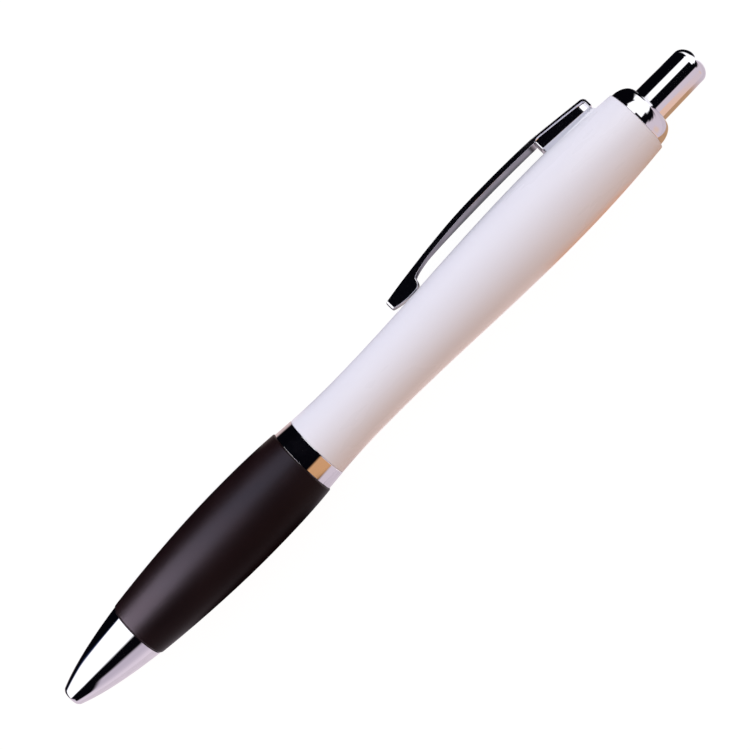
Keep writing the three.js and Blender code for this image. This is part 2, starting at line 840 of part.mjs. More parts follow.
function clipFoot() {
  const core = new THREE.Shape();
  const below = flatHeight - footSoleHeight;
  core.moveTo(footFront + footCorner, below);
  core.lineTo(clipHeel - footPlateThickness / 2, below);
  core.lineTo(clipHeel - footPlateThickness / 2, clipHeelHeight - footPlateThickness);
  core.lineTo(footFront, clipShoulderHeight - footPlateThickness);
  core.lineTo(footFront, padFrontRadius() + footCorner);
  core.quadraticCurveTo(footFront, padFrontRadius(), footFront + footCorner, padFrontRadius());
  core.closePath();
  const soleTop = padRearRadius + footSoleHeight / 2;
  const sole = block(footFront + footCorner, clipHeel, below, soleTop, footSoleHalfWidth);
  const saddle = solidOf(revolve(padProfile(seatGap), shellSegments));
  return solidOf(prism(core, footHalfWidth)).add(solidOf(sole)).subtract(saddle);
}

// The tongue reaches through the barrel's slot and ends in a small hook.
function clipTongue() {
  const bottom = guideRadius + slotClearance;
  const top = padRearRadius + footSoleHeight / 2;
  const tongue = new THREE.Shape();
  tongue.moveTo(tongueFront, top);
  tongue.lineTo(tongueFront, bottom);
  tongue.lineTo(tongueRear + tongueHook / 2, bottom);
  tongue.lineTo(tongueRear + tongueHook, bottom + tongueHookHeight / 2);
  tongue.lineTo(tongueRear, bottom + tongueHookHeight);
  tongue.lineTo(tongueRear, top);
  tongue.closePath();
  return solidOf(prism(tongue, tongueHalfWidth));
}

function clip() {
  const arm = solidOf(taperSides(prism(clipOutline(), clipHalfWidth, clipEdge)));
  return arm.add(clipFoot()).add(clipTongue());
}

// How far the pen can turn about its axis until the clip's edge meets the plane under the barrel's belly.
function restingTurn(geometry) {
  const position = geometry.attributes.position;
  let turn = Math.PI / 2;
  for (let i = 0; i < position.count; i++) {
    const reach = Math.hypot(position.getY(i), position.getZ(i));
    if (reach <= gripBellyRadius) continue;
    const lean = Math.atan2(Math.abs(position.getZ(i)), position.getY(i));
    turn = Math.min(turn, Math.asin(gripBellyRadius / reach) - lean);
  }
  return turn;
}

const chrome = { color: 0xd9d9dc, roughness: 0.08, metalness: 1 };
const whitePlastic = { color: 0xe7e5f0, roughness: 0.25, metalness: 0 };
const blackRubber = { color: 0x1d1b20, roughness: 0.7, metalness: 0 };
const blackPlastic = { color: 0x202024, roughness: 0.5, metalness: 0 };
const clearPlastic = { color: 0xdfe3e6, roughness: 0.3, metalness: 0 };
const acetal = { color: 0xf0efe9, roughness: 0.45, metalness: 0 };
const inkBlue = { color: 0x12245e, roughness: 0.35, metalness: 0 };
const grease = { color: 0xd8cf9a, roughness: 0.4, metalness: 0 };
const nickelSilver = { color: 0xc9c3ae, roughness: 0.25, metalness: 1 };
const carbide = { color: 0x8f9093, roughness: 0.12, metalness: 1 };
const springSteel = { color: 0xa9abae, roughness: 0.3, metalness: 1 };

const pieces = [
  ["nose_cone", noseCone, chrome],
  ["lower_barrel", lowerBarrel, blackPlastic],
  ["grip_sleeve", gripSleeve, blackRubber],
  ["return_spring", returnSpring, springSteel],
  ["centre_ring", centreRing, chrome],
  ["upper_barrel", upperBarrel, whitePlastic],
  ["guide_tube", guideTube, acetal],
  ["top_collar", topCollar, chrome],
  ["clip", clip, chrome],
  ["push_button", pushButton, chrome],
  ["plunger", plunger, acetal],
  ["cam_rotor", camRotor, acetal],
  ["refill_tube", refillTube, clearPlastic],
  ["refill_ink", refillInk, inkBlue],
  ["ink_follower", inkFollower, grease],
  ["refill_point", refillPoint, nickelSilver],
  ["writing_ball", writingBall, carbide],
];

const pen = new THREE.Group();
for (const [name, make, look] of pieces) {
  const mesh = new THREE.Mesh(geometryOf(make()), new THREE.MeshStandardMaterial(look));
  mesh.name = name;
  pen.add(mesh);
}

// The pen lies on its grip and belly with the clip's edge down, over the middle of its own box.
pen.rotation.x = -restingTurn(pen.getObjectByName("clip").geometry);
const part = new THREE.Group();
part.add(pen);
part.updateMatrixWorld(true);
const extent = new THREE.Box3().setFromObject(part, true);
const middle = extent.getCenter(new THREE.Vector3());
pen.position.set(-middle.x, -middle.y, -extent.min.z);

const springGap = springSelfGap();
console.log(`return_spring: least gap to itself ${springGap.toFixed(2)} mm, over ${leastSpringGap} mm`);

export default part;
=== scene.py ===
# Push-button ballpoint pen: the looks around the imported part.
# Lengths are in mm in the pen's own frame, as station from the nose, height to the clip side and side,
# until penToWorld turns them to metres.
import math

import bmesh
import bpy
from mathutils import Matrix, Vector


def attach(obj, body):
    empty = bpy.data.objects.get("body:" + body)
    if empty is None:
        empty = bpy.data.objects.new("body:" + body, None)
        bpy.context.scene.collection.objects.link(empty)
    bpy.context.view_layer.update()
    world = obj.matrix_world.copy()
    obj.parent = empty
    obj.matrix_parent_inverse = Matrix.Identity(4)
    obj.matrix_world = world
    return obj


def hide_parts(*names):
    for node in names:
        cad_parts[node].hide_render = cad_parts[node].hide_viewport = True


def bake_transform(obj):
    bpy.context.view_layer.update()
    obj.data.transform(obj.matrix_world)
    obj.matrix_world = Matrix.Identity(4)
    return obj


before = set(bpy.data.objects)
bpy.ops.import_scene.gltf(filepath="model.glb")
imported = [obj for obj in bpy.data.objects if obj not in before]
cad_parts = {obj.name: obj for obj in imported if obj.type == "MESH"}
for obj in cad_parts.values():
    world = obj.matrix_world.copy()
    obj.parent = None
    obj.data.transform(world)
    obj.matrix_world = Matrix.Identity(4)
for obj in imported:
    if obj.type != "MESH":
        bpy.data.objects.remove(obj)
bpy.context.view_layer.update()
print("stage: frame loaded,", len(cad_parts), "nodes")

# How the pen lies on the floor: on its grip, its belly and the clip's edge.
lying = {
    "turn": 24.4185,  # degrees the clip side leans down from +Y
    "axisY": -1.60152,
    "axisZ": 6.7,
    "middle": 70.0,  # station over the origin
}
lyingTurn = math.radians(lying["turn"])
penToWorld = (
    Matrix.Translation((-lying["middle"] / 1000, lying["axisY"] / 1000, lying["axisZ"] / 1000))
    @ Matrix.Rotation(-lyingTurn, 4, "X")
    @ Matrix.Scale(0.001, 4)
)


def hexColor(text, strength=1.0):
    channels = [int(text[i:i + 2], 16) / 255 for i in (1, 3, 5)]
    linear = [c / 12.92 if c <= 0.04045 else ((c + 0.055) / 1.055) ** 2.4 for c in channels]
    return (*[c * strength for c in linear], 1.0)


# settings and links go by the input's name or number.
def addNode(tree, kind, settings=None, links=None):
    node = tree.nodes.new("ShaderNode" + kind)
    for key, value in (settings or {}).items():
        if isinstance(key, int) or key in node.inputs:
            node.inputs[key].default_value = value
        else:
            setattr(node, key, value)
    for key, source in (links or {}).items():
        # a node stands for its first output
        output = source.outputs[0] if isinstance(source, bpy.types.Node) else source
        tree.links.new(output, node.inputs[key])
    return node


# A material whose shader comes from build, which may take more about its finish.
def makeMaterial(name, build, *finish):
    material = bpy.data.materials.new(name)
    material.use_nodes = True
    tree = material.node_tree
    tree.nodes.clear()
    shader = build(tree, *finish)
    addNode(tree, "OutputMaterial", {}, {"Surface": shader})
    return material


# Noise over the object, for patterns whose size is given in mm.
def mmNoise(tree, size, detail, stretch=(1, 1, 1)):
    place = addNode(tree, "TexCoord")
    scaled = addNode(tree, "VectorMath", {"operation": "MULTIPLY", 1: stretch},
                     {0: place.outputs["Object"]})
    settings = {"Scale": 1000 / size, "Detail": detail, "Roughness": 0.55}
    return addNode(tree, "TexNoise", settings, {"Vector": scaled}).outputs["Fac"]


noiseSpan = {"From Min": 0.3, "From Max": 0.7}  # where most of a noise's values lie


# A colour that drifts between two, led by a pattern.
def driftingTint(tree, pattern, first, second):
    share = addNode(tree, "MapRange", noiseSpan, {"Value": pattern})
    settings = {"data_type": "RGBA", 6: hexColor(first), 7: hexColor(second)}
    return addNode(tree, "Mix", settings, {0: share}).outputs[2]


# A surface whose roughness, as (pattern, from, to), and relief, as (pattern, mm), follow patterns.
def patternedShader(tree, settings, links, rough, relief):
    bump = addNode(tree, "Bump", {"Distance": relief[1] / 1000}, {"Height": relief[0]})
    roughness = addNode(tree, "MapRange",
                        {**noiseSpan, "To Min": rough[1], "To Max": rough[2]}, {"Value": rough[0]})
    return addNode(tree, "BsdfPrincipled", settings, {"Roughness": roughness, "Normal": bump, **links})


# Polished chrome plate: gives the hard black and white bands, with faint handling haze and plating ripple.
def chromePlate(tree):
    haze = mmNoise(tree, 4.0, detail=5.0)
    hairlines = mmNoise(tree, 0.25, detail=2.0, stretch=(0.04, 1, 1))
    roughHaze = addNode(tree, "MapRange", {**noiseSpan, "To Min": 0.02, "To Max": 0.05}, {"Value": haze})
    roughLines = addNode(tree, "MapRange",
                         {"From Min": 0.55, "From Max": 0.8, "To Min": 0.0, "To Max": 0.03},
                         {"Value": hairlines})
    rough = addNode(tree, "Math", {"operation": "ADD"}, {0: roughHaze, 1: roughLines})
    ripple = mmNoise(tree, 5.0, detail=1.0, stretch=(0.4, 1, 1))
    relief = addNode(tree, "Bump", {"Distance": 0.006 / 1000}, {"Height": ripple})
    return addNode(tree, "BsdfPrincipled", {"Base Color": hexColor("#e6e5ea"), "Metallic": 1.0},
                   {"Roughness": rough, "Normal": relief})


# Lacquered white ABS: bright and even, with a soft gloss and a trace of mould flow.
def whiteLacquer(tree):
    flow = mmNoise(tree, 9.0, detail=4.0, stretch=(0.25, 1, 1))
    tint = driftingTint(tree, flow, "#ecf0f5", "#e7ebf1")
    peel = mmNoise(tree, 0.9, detail=2.0)
    settings = {"IOR": 1.5, "Specular IOR Level": 0.3, "Sheen Weight": 0.12, "Sheen Roughness": 0.5,
                "Coat Weight": 0.1, "Coat Roughness": 0.15}
    return patternedShader(tree, settings, {"Base Color": tint}, (flow, 0.26, 0.34), (peel, 0.0016))


# Soft-touch black rubber: drinks the light, with a broad dull sheen and a fine grain.
def softRubber(tree):
    grain = mmNoise(tree, 0.12, detail=4.0)
    dust = mmNoise(tree, 6.0, detail=6.0, stretch=(0.6, 1, 1))
    tint = driftingTint(tree, dust, "#110304", "#180505")
    settings = {"IOR": 1.5, "Specular IOR Level": 0.16}
    return patternedShader(tree, settings, {"Base Color": tint}, (dust, 0.37, 0.43), (grain, 0.006))


# Moulded plastic, for the core and the mechanism: satin, with a faint spark-eroded texture.
def mouldedPlastic(tree, dark, light, rough, subsurface=0.0):
    texture = mmNoise(tree, 0.2, detail=3.0)
    flow = mmNoise(tree, 3.0, detail=4.0, stretch=(0.3, 1, 1))
    tint = driftingTint(tree, flow, dark, light)
    settings = {"IOR": 1.48, "Subsurface Weight": subsurface, "Subsurface Scale": 0.001}
    return patternedShader(tree, settings, {"Base Color": tint}, (texture, rough - 0.05, rough + 0.05),
                           (texture, 0.003))


# Turned or drawn metal with fine rings round the axis: for the point, the ball and the spring.
def turnedMetal(tree, tint, rough):
    rings = mmNoise(tree, 0.3, detail=3.0, stretch=(6, 0.4, 0.4))
    return patternedShader(tree, {"Base Color": hexColor(tint), "Metallic": 1.0}, {},
                           (rings, rough - 0.05, rough + 0.05), (rings, 0.002))


chrome = makeMaterial("polishedChromePlate", chromePlate)
lacquer = makeMaterial("whiteLacqueredAbs", whiteLacquer)
rubber = makeMaterial("softTouchBlackRubber", softRubber)
corePlastic = makeMaterial("mouldedBlackPolypropylene", mouldedPlastic, "#1d1d20", "#28282c", 0.45)
springWire = makeMaterial("drawnSpringSteel", turnedMetal, "#b4b6b9", 0.28)
nickelSilver = makeMaterial("turnedNickelSilver", turnedMetal, "#cfc8b2", 0.25)
carbide = makeMaterial("lappedTungstenCarbide", turnedMetal, "#98999c", 0.12)

# The CAD's own materials, by name, and what takes their place.
slotMaterials = {
    "black_plastic": corePlastic, "spring_steel": springWire, "nickel_silver": nickelSilver,
    "carbide": carbide,
}
for slotName, name, *finish in (
    ("natural_acetal", "mouldedNaturalAcetal", "#eceae2", "#f4f2ec", 0.42, 0.2),
    ("clear_plastic", "extrudedMilkyPolypropylene", "#ccd2d8", "#dde2e6", 0.3, 0.3),
    ("blue_ink", "blueBallpointPaste", "#101f5a", "#172a70", 0.25),
    ("follower_grease", "amberFollowerGrease", "#c9bd84", "#d8cf9a", 0.25, 0.3),
):
    slotMaterials[slotName] = makeMaterial(name, mouldedPlastic, *finish)
print("stage: materials made")

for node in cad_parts.values():
    for place in node.material_slots:
        slotName = place.material.name.split(".")[0] if place.material else ""
        if slotName in slotMaterials:
            place.material = slotMaterials[slotName]


def makePiece(name, points, faces, material, body, node, sharpAbove=32):
    mesh = bpy.data.meshes.new(name)
    mesh.from_pydata([penToWorld @ Vector(p) for p in points], [], faces)
    shape = bmesh.new()
    shape.from_mesh(mesh)
    bmesh.ops.remove_doubles(shape, verts=shape.verts, dist=1e-7)
    bmesh.ops.recalc_face_normals(shape, faces=shape.faces)
    shape.to_mesh(mesh)
    shape.free()
    mesh.shade_smooth()
    mesh.set_sharp_from_angle(angle=math.radians(sharpAbove))
    mesh.materials.append(material)
    piece = bpy.data.objects.new(name, mesh)
    bpy.context.scene.collection.objects.link(piece)
    if body:
        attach(piece, body)
    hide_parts(node)
    return piece


# Turns the corners that carry a radius, as in (x, r, radius), into arcs.
def roundCorners(points):
    rounded, steps = [], 5
    hold = 0.04  # keeps the long face beside an arc flat
    for i, point in enumerate(points):
        here = Vector(point[:2])
        if len(point) < 3:
            rounded.append(here)
            continue
        before = Vector(points[i - 1][:2]) - here
        after = Vector(points[(i + 1) % len(points)][:2]) - here
        reach = point[2] / math.tan(before.angle(after) / 2)
        reach = min(reach, before.length * 0.49, after.length * 0.49)
        first, last = here + before.normalized() * reach, here + after.normalized() * reach
        if before.length > reach + 3 * hold:
            rounded.append(here + before.normalized() * (reach + hold))
        for step in range(steps + 1):
            t = step / steps
            rounded.append(first * (1 - t) ** 2 + here * 2 * t * (1 - t) + last * t ** 2)
        if after.length > reach + 3 * hold:
            rounded.append(here + after.normalized() * (reach + hold))
    return rounded


# The faces between rows of points, where each row closes on itself.
def tubeFaces(rows, count, closed=False):
    faces = []
    for row in range(rows if closed else rows - 1):
        here, there = row * count, (row + 1) % rows * count
        for i in range(count):
            j = (i + 1) % count
            faces.append((here + i, here + j, there + j, there + i))
    return faces


def evenTurns(count):
    return [2 * math.pi * i / count for i in range(count)]


fineTurns = evenTurns(144)  # for the shells


# Spins a closed outline about the pen's axis. reshape may give another radius at a station and an angle.
def spinPiece(name, outline, turns, material, body, node, reshape=None):
    profile, points = roundCorners(outline), []
    for turn in turns:
        for x, r in profile:
            radius = reshape(x, r, turn) if reshape else r
            points.append((x, radius * math.cos(turn), radius * math.sin(turn)))
    faces = tubeFaces(len(turns), len(profile), closed=True)
    return makePiece(name, points, faces, material, body, node)


# line and curve leave their start out, so that they can follow each other.
def line(start, end, steps):
    return [(start[0] + (end[0] - start[0]) * i / steps, start[1] + (end[1] - start[1]) * i / steps)
            for i in range(1, steps + 1)]


def curve(start, handle, end, steps):
    points = []
    for i in range(1, steps + 1):
        t = i / steps
        shares = (1 - t) ** 2, 2 * t * (1 - t), t * t
        points.append(tuple(start[k] * shares[0] + handle[k] * shares[1] + end[k] * shares[2]
                            for k in (0, 1)))
    return points


# Leaves the flat start slowly and reaches the end with a slope.
def bow(flatX, flatR, endX, endR, power, steps):
    return [(flatX + (endX - flatX) * i / steps, flatR + (endR - flatR) * (i / steps) ** power)
            for i in range(steps + 1)]


# A quarter of an ellipse that stops early, at endR.
def shoulder(fromX, fromR, toX, toR, endR, steps=28):
    last = math.acos((endR - toR) / (fromR - toR))
    return [(fromX + (toX - fromX) * math.sin(last * i / steps) / math.sin(last),
             toR + (fromR - toR) * math.cos(last * i / steps)) for i in range(steps + 1)]


def softMin(a, b, blend):
    h = max(blend - abs(a - b), 0) / blend
    return min(a, b) - h * h * blend / 4


def softStep(value, low, high):
    t = min(max((value - low) / (high - low), 0), 1)
    return t * t * (3 - 2 * t)


nose = {
    "faceRadius": 1.45, "faceEdge": 0.25, "edge": 0.35, "frontRadius": 1.8,
    "swellAt": 5.45, "swellRadius": 3.82, "length": 15.1, "rearRadius": 5.07, "rearBevel": 0.1,
    "holeRadius": 1.3, "holeEdge": 0.06, "holeRear": 2.3, "throatFront": 3.6, "throatRadius": 1.725,
    "springSeat": 6.8, "chamberRadius": 2.375, "socketFront": 9.65, "socketRadius": 3.55,
}


def noseCone():
    start, swell = (nose["edge"], nose["frontRadius"]), (nose["swellAt"], nose["swellRadius"])
    end = (nose["length"] - nose["rearBevel"], nose["rearRadius"])
    outline = [
        (0, nose["holeRadius"], nose["holeEdge"]), (0, nose["faceRadius"], nose["faceEdge"]),
        start, *curve(start, swell, end, steps=48),
        (nose["length"], nose["rearRadius"] - nose["rearBevel"]), (nose["length"], nose["socketRadius"]),
        (nose["socketFront"], nose["socketRadius"]), (nose["socketFront"], nose["chamberRadius"]),
        (nose["springSeat"], nose["chamberRadius"]), (nose["springSeat"], nose["throatRadius"]),
        (nose["throatFront"], nose["throatRadius"]), (nose["holeRear"], nose["holeRadius"]),
    ]
    spinPiece("noseConeShell", outline, fineTurns, chrome, "lower_section", "nose_cone")


grip = {
    "front": 15.1, "belly": 38.5, "rear": 52.2, "inset": 0.1,
    "frontRadius": 5.22, "bellyRadius": 6.7, "rearRadius": 6.2, "frontPower": 1.8, "rearPower": 2.5,
    "frontDrop": 0.22, "frontRoundAt": 0.12, "frontRound": 0.2,
    "rearDrop": 0.2, "rearRoundAt": 0.16, "rearRound": 0.18, "lip": 0.12,
    "boreRadius": 4.4, "pocketRadius": 5.25, "pocketFront": 50.9,
}


def gripSleeve():
    belly = (grip["belly"], grip["bellyRadius"])
    front = bow(*belly, grip["front"] + grip["inset"], grip["frontRadius"], grip["frontPower"], steps=34)
    rear = bow(*belly, grip["rear"] - grip["inset"], grip["rearRadius"], grip["rearPower"], steps=24)
    outline = [
        (grip["front"], grip["frontRadius"] - grip["frontDrop"], grip["lip"]),
        (front[-1][0] + grip["frontRoundAt"], front[-1][1], grip["frontRound"]),
        *front[-2::-1], *rear[1:-1],
        (grip["rear"] - grip["rearRoundAt"], grip["rearRadius"], grip["rearRound"]),
        (grip["rear"], grip["rearRadius"] - grip["rearDrop"], grip["lip"]),
        (grip["rear"], grip["pocketRadius"]), (grip["pocketFront"], grip["pocketRadius"]),
        (grip["pocketFront"], grip["boreRadius"]), (grip["front"], grip["boreRadius"]),
    ]
    return spinPiece("gripSleeveSkin", outline, fineTurns, rubber, "lower_section", "grip_sleeve")


ring = {
    "front": 52.2, "rear": 55.45, "frontRadius": 5.97, "rearRadius": 5.72, "edge": 0.09,
    "boreRadius": 4.32, "boreEdge": 0.05, "pocketRadius": 5.06, "pocketFront": 53.75,
}


def centreRing():
    outline = [
        (ring["front"], ring["frontRadius"], ring["edge"]),
        (ring["rear"], ring["rearRadius"], ring["edge"]),
        (ring["rear"], ring["pocketRadius"]), (ring["pocketFront"], ring["pocketRadius"]),
        (ring["pocketFront"], ring["boreRadius"]), (ring["front"], ring["boreRadius"], ring["boreEdge"]),
    ]
    spinPiece("centreRingBand", outline, fineTurns, chrome, "ring", "centre_ring")


barrel = {
    "front": 55.45, "waist": 64.55, "belly": 107.55, "rear": 126.3,
    "frontRadius": 5.7, "waistRadius": 5.34, "bellyRadius": 6.67, "rearRadius": 5.84, "rearInset": 0.22,
    "edgeDrop": 0.02, "frontEdge": 0.15, "rearEdge": 0.16,
    "spigotFront": 53.85, "spigotRadius": 4.94, "spigotEdge": 0.1, "threadBore": 4.32,
    "threadBoreRear": 60.3, "waistBore": 4.1, "middleBore": 4.56, "middleBoreFront": 82.65,
    "rearBore": 5.0, "rearBoreFront": 101.5,
    "flatHeight": 5.5, "flatEndHeight": 5.25, "flatFrom": 121.4, "flatFull": 121.6,
    "padFront": 113.0, "padRear": 123.2, "padHalfWidth": 2.75, "padRearRadius": 6.36, "padSoft": 0.12,
    "padFadeFrom": 123.0, "padFadeTo": 123.3,
    "blend": 0.12,  # how softly the flat runs into the round
    "skin": 0.4,  # how deep the flat and the pad reach, so that the bore stays round
    "fineFrom": 112.2, "fineStep": 0.14,  # where the rows stand closer, for the flat and the pad
    "fineHalfTurn": 36,  # degrees either way of the clip side with more facets
}


def barrelRadius(x):
    waist, belly = barrel["waistRadius"], barrel["bellyRadius"]
    if x <= barrel["waist"]:
        share = (barrel["waist"] - x) / (barrel["waist"] - barrel["front"])
        return waist + (barrel["frontRadius"] - waist) * share ** 2
    if x <= barrel["belly"]:
        share = (x - barrel["waist"]) / (barrel["belly"] - barrel["waist"])
        return waist + (belly - waist) * (1 - math.cos(math.pi * share)) / 2
    share = (x - barrel["belly"]) / (barrel["rear"] - barrel["rearInset"] - barrel["belly"])
    return belly + (barrel["rearRadius"] - belly) * share ** 2


# The radius of the pad that the clip's foot stands on.
def padRadius(x):
    share = min(max((x - barrel["padFront"]) / (barrel["padRear"] - barrel["padFront"]), 0), 1)
    front = barrelRadius(barrel["padFront"])
    return front + (barrel["padRearRadius"] - front) * share


# Cuts the flat at the barrel's end and raises the pad under the clip's foot.
def withFlatAndPad(x, r, turn):
    outside = barrelRadius(min(x, barrel["rear"] - barrel["rearInset"]))
    onClipSide = math.cos(turn) > 0.3
    if x <= barrel["padFront"] or r < outside - barrel["skin"] or not onClipSide:
        return r
    radius = r
    if x > barrel["flatFrom"]:
        slope = max(x - barrel["padRear"], 0) / (barrel["rear"] - barrel["padRear"])
        height = barrel["flatHeight"] + (barrel["flatEndHeight"] - barrel["flatHeight"]) * slope
        cut = softMin(radius, height / math.cos(turn), barrel["blend"])
        radius += (cut - radius) * softStep(x, barrel["flatFrom"], barrel["flatFull"])
    side, half, soft = abs(radius * math.sin(turn)), barrel["padHalfWidth"], barrel["padSoft"]
    inside = 1 - softStep(side, half - soft, half + soft)
    inside *= 1 - softStep(x, barrel["padFadeFrom"], barrel["padFadeTo"])
    return max(radius, radius + (padRadius(x) - radius) * inside)


def upperBarrel():
    front, rear, fineFrom, rows = barrel["front"], barrel["rear"], barrel["fineFrom"], 110
    # the first and the last row keep clear of the rounded edges
    spots = [front + 0.1 + i * (fineFrom - front) / rows for i in range(1, rows)]
    fineRows = int((rear - 0.15 - fineFrom) / barrel["fineStep"]) + 1
    spots += [fineFrom + i * barrel["fineStep"] for i in range(fineRows)]
    outline = [
        (barrel["spigotFront"], barrel["spigotRadius"], barrel["spigotEdge"]),
        (front, barrel["spigotRadius"]),
        (front, barrel["frontRadius"] - barrel["edgeDrop"], barrel["frontEdge"]),
        *[(x, barrelRadius(x)) for x in spots],
        (rear, barrel["rearRadius"] - barrel["edgeDrop"], barrel["rearEdge"]), (rear, barrel["rearBore"]),
        (barrel["rearBoreFront"], barrel["rearBore"]), (barrel["rearBoreFront"], barrel["middleBore"]),
        (barrel["middleBoreFront"], barrel["middleBore"]), (barrel["waist"], barrel["waistBore"]),
        (barrel["threadBoreRear"], barrel["waistBore"]), (barrel["threadBoreRear"], barrel["threadBore"]),
        (barrel["spigotFront"], barrel["threadBore"]),
    ]
    fine, fineSteps, steps = barrel["fineHalfTurn"], 110, 96
    turns = [math.radians(-fine + 2 * fine * i / fineSteps) for i in range(fineSteps + 1)]
    turns += [math.radians(fine + (360 - 2 * fine) * i / steps) for i in range(1, steps)]
    spinPiece("upperBarrelShell", outline, turns, lacquer, "upper_section", "upper_barrel",
              reshape=withFlatAndPad)


collar = {
    "front": 126.3, "rear": 129.5, "radius": 5.36, "edgeInset": 0.12, "edgeDrop": 0.1,
    "boreRadius": 3.37, "lip": 0.12, "stop": 126.2, "counterbore": 3.89,
    "skirtFront": 122.3, "skirtRadius": 4.95,
}


def topCollar():
    dome = shoulder(collar["front"] + collar["edgeInset"], collar["radius"], collar["rear"],
                    collar["boreRadius"], collar["boreRadius"] + collar["lip"])
    outline = [
        (collar["skirtFront"], collar["skirtRadius"]), (collar["front"], collar["skirtRadius"]),
        (collar["front"], collar["radius"] - collar["edgeDrop"]), *dome,
        (collar["rear"], collar["boreRadius"]), (collar["stop"], collar["boreRadius"]),
        (collar["stop"], collar["counterbore"]), (collar["skirtFront"], collar["counterbore"]),
    ]
    spinPiece("topCollarDome", outline, fineTurns, chrome, "upper_section", "top_collar")


button = {
    "front": 126.1, "shoulderAt": 129.5, "rear": 140.0, "radius": 3.22, "frontEdge": 0.12,
    "endRadius": 3.1, "dome": 1.9, "flatRadius": 0.9, "boreRadius": 2.5, "boreEnd": 138.4,
}


def pushButton():
    domeFront = button["rear"] - button["dome"]
    dome = shoulder(domeFront, button["endRadius"], button["rear"], 0, button["flatRadius"])
    long, taper = domeFront - button["shoulderAt"], button["endRadius"] - button["radius"]
    # two rows close to the ends keep the side straight
    side = [(button["shoulderAt"] + long * t, button["radius"] + taper * t) for t in (0.01, 0.99)]
    outline = [
        (button["boreEnd"], 0), (button["boreEnd"], button["boreRadius"]),
        (button["front"], button["boreRadius"]), (button["front"], button["radius"], button["frontEdge"]),
        (button["shoulderAt"], button["radius"]), *side, *dome, (button["rear"], 0),
    ]
    spinPiece("pushButtonCap", outline, evenTurns(128), chrome, "button", "push_button")


core = {
    "front": 9.8, "spigotRadius": 3.5, "chamfer": 0.3, "shoulder": 15.1, "radius": 4.35,
    "flangeFront": 50.9, "flangeRadius": 5.2, "flangeRear": 52.2, "flangeEdge": 0.1,
    "bossRadius": 4.2, "rear": 60.0, "rearDrop": 0.35, "bore": 3.2, "boreStep": 39.8, "chamber": 2.375,
    "threadPitch": 1.0, "threadDepth": 0.3, "threadFrom": 53.4, "threadTo": 59.6, "threadRunOut": 0.6,
    "threadFlank": (0.15, 0.75),  # where a groove starts and is full, in shares of half a pitch
    "threadRow": 0.06, "firstRow": 0.02,  # how far apart the rows stand, and the first from the flange
}


def withThread(x, r, turn):
    if r < core["bossRadius"] - 0.01 or not core["threadFrom"] < x < core["threadTo"]:
        return r
    wave = (x / core["threadPitch"] - turn / (2 * math.pi)) % 1
    groove = softStep(1 - abs(2 * wave - 1), *core["threadFlank"])
    runOut = softStep(x, core["threadFrom"], core["threadFrom"] + core["threadRunOut"])
    return r - core["threadDepth"] * groove * runOut


def lowerBarrel():
    long = core["rear"] - core["chamfer"] - core["flangeRear"]
    rows = int(long / core["threadRow"])
    first = core["flangeRear"] + core["firstRow"]
    boss = [(first + i * long / rows, core["bossRadius"]) for i in range(rows)]
    outline = [
        (core["front"], core["spigotRadius"] - core["chamfer"]),
        (core["front"] + core["chamfer"], core["spigotRadius"]),
        (core["shoulder"], core["spigotRadius"]), (core["shoulder"], core["radius"]),
        (core["flangeFront"], core["radius"]), (core["flangeFront"], core["flangeRadius"]),
        (core["flangeRear"], core["flangeRadius"], core["flangeEdge"]), *boss,
        (core["rear"], core["bossRadius"] - core["rearDrop"]), (core["rear"], core["bore"]),
        (core["boreStep"], core["bore"]), (core["boreStep"], core["chamber"]),
        (core["front"], core["chamber"]),
    ]
    spinPiece("threadedCore", outline, evenTurns(96), corePlastic, "lower_section", "lower_barrel",
              reshape=withThread)


point = {
    "rim": 1.95, "rimRadius": 0.63, "rimEdge": 0.04, "coneLength": 2.65, "radius": 1.15, "coneRound": 0.5,
    "shoulder": 10.5, "shoulderEdge": 0.08, "shankRadius": 1.01, "rear": 13.8,
    "channel": 0.35, "ballCentre": 2.1, "socket": 0.56, "ball": 0.5,
}


def refillPoint():
    first = math.asin((point["rim"] - point["ballCentre"]) / point["socket"])
    last, steps = math.acos(point["channel"] / point["socket"]), 12
    turns = [last + (first - last) * i / steps for i in range(steps + 1)]
    cup = [(point["ballCentre"] + point["socket"] * math.sin(turn), point["socket"] * math.cos(turn))
           for turn in turns]
    outline = [
        (point["rim"], point["rimRadius"], point["rimEdge"]),
        (point["rim"] + point["coneLength"], point["radius"], point["coneRound"]),
        (point["shoulder"], point["radius"], point["shoulderEdge"]),
        (point["shoulder"], point["shankRadius"]), (point["rear"], point["shankRadius"]),
        (point["rear"], point["channel"]), *cup,
    ]
    spinPiece("turnedPoint", outline, evenTurns(64), nickelSilver, "refill", "refill_point")


def writingBall():
    turns = [math.pi * i / 24 for i in range(25)]
    arc = [(point["ballCentre"] - point["ball"] * math.cos(turn), point["ball"] * math.sin(turn))
           for turn in turns]
    spinPiece("writingBallBead", arc, evenTurns(48), carbide, "refill", "writing_ball")


spring = {
    "from": 6.9, "to": 31.9, "radius": 2.15, "wire": 0.22, "turns": 11,
    "endDraw": 0.52,  # how much closer the end turns lie
    "cutEnd": 0.8,  # the wire's cut ends are a little rounded
    "steps": 28, "sides": 10,
}


def springCentre(turns):
    share = turns / spring["turns"]
    drawn = share - spring["endDraw"] * math.sin(2 * math.pi * share) / (2 * math.pi)
    angle, arm = 2 * math.pi * turns, spring["radius"] - spring["wire"]
    start, long = spring["from"] + spring["wire"], spring["to"] - spring["from"] - 2 * spring["wire"]
    return Vector((start + long * drawn, arm * math.cos(angle), arm * math.sin(angle)))


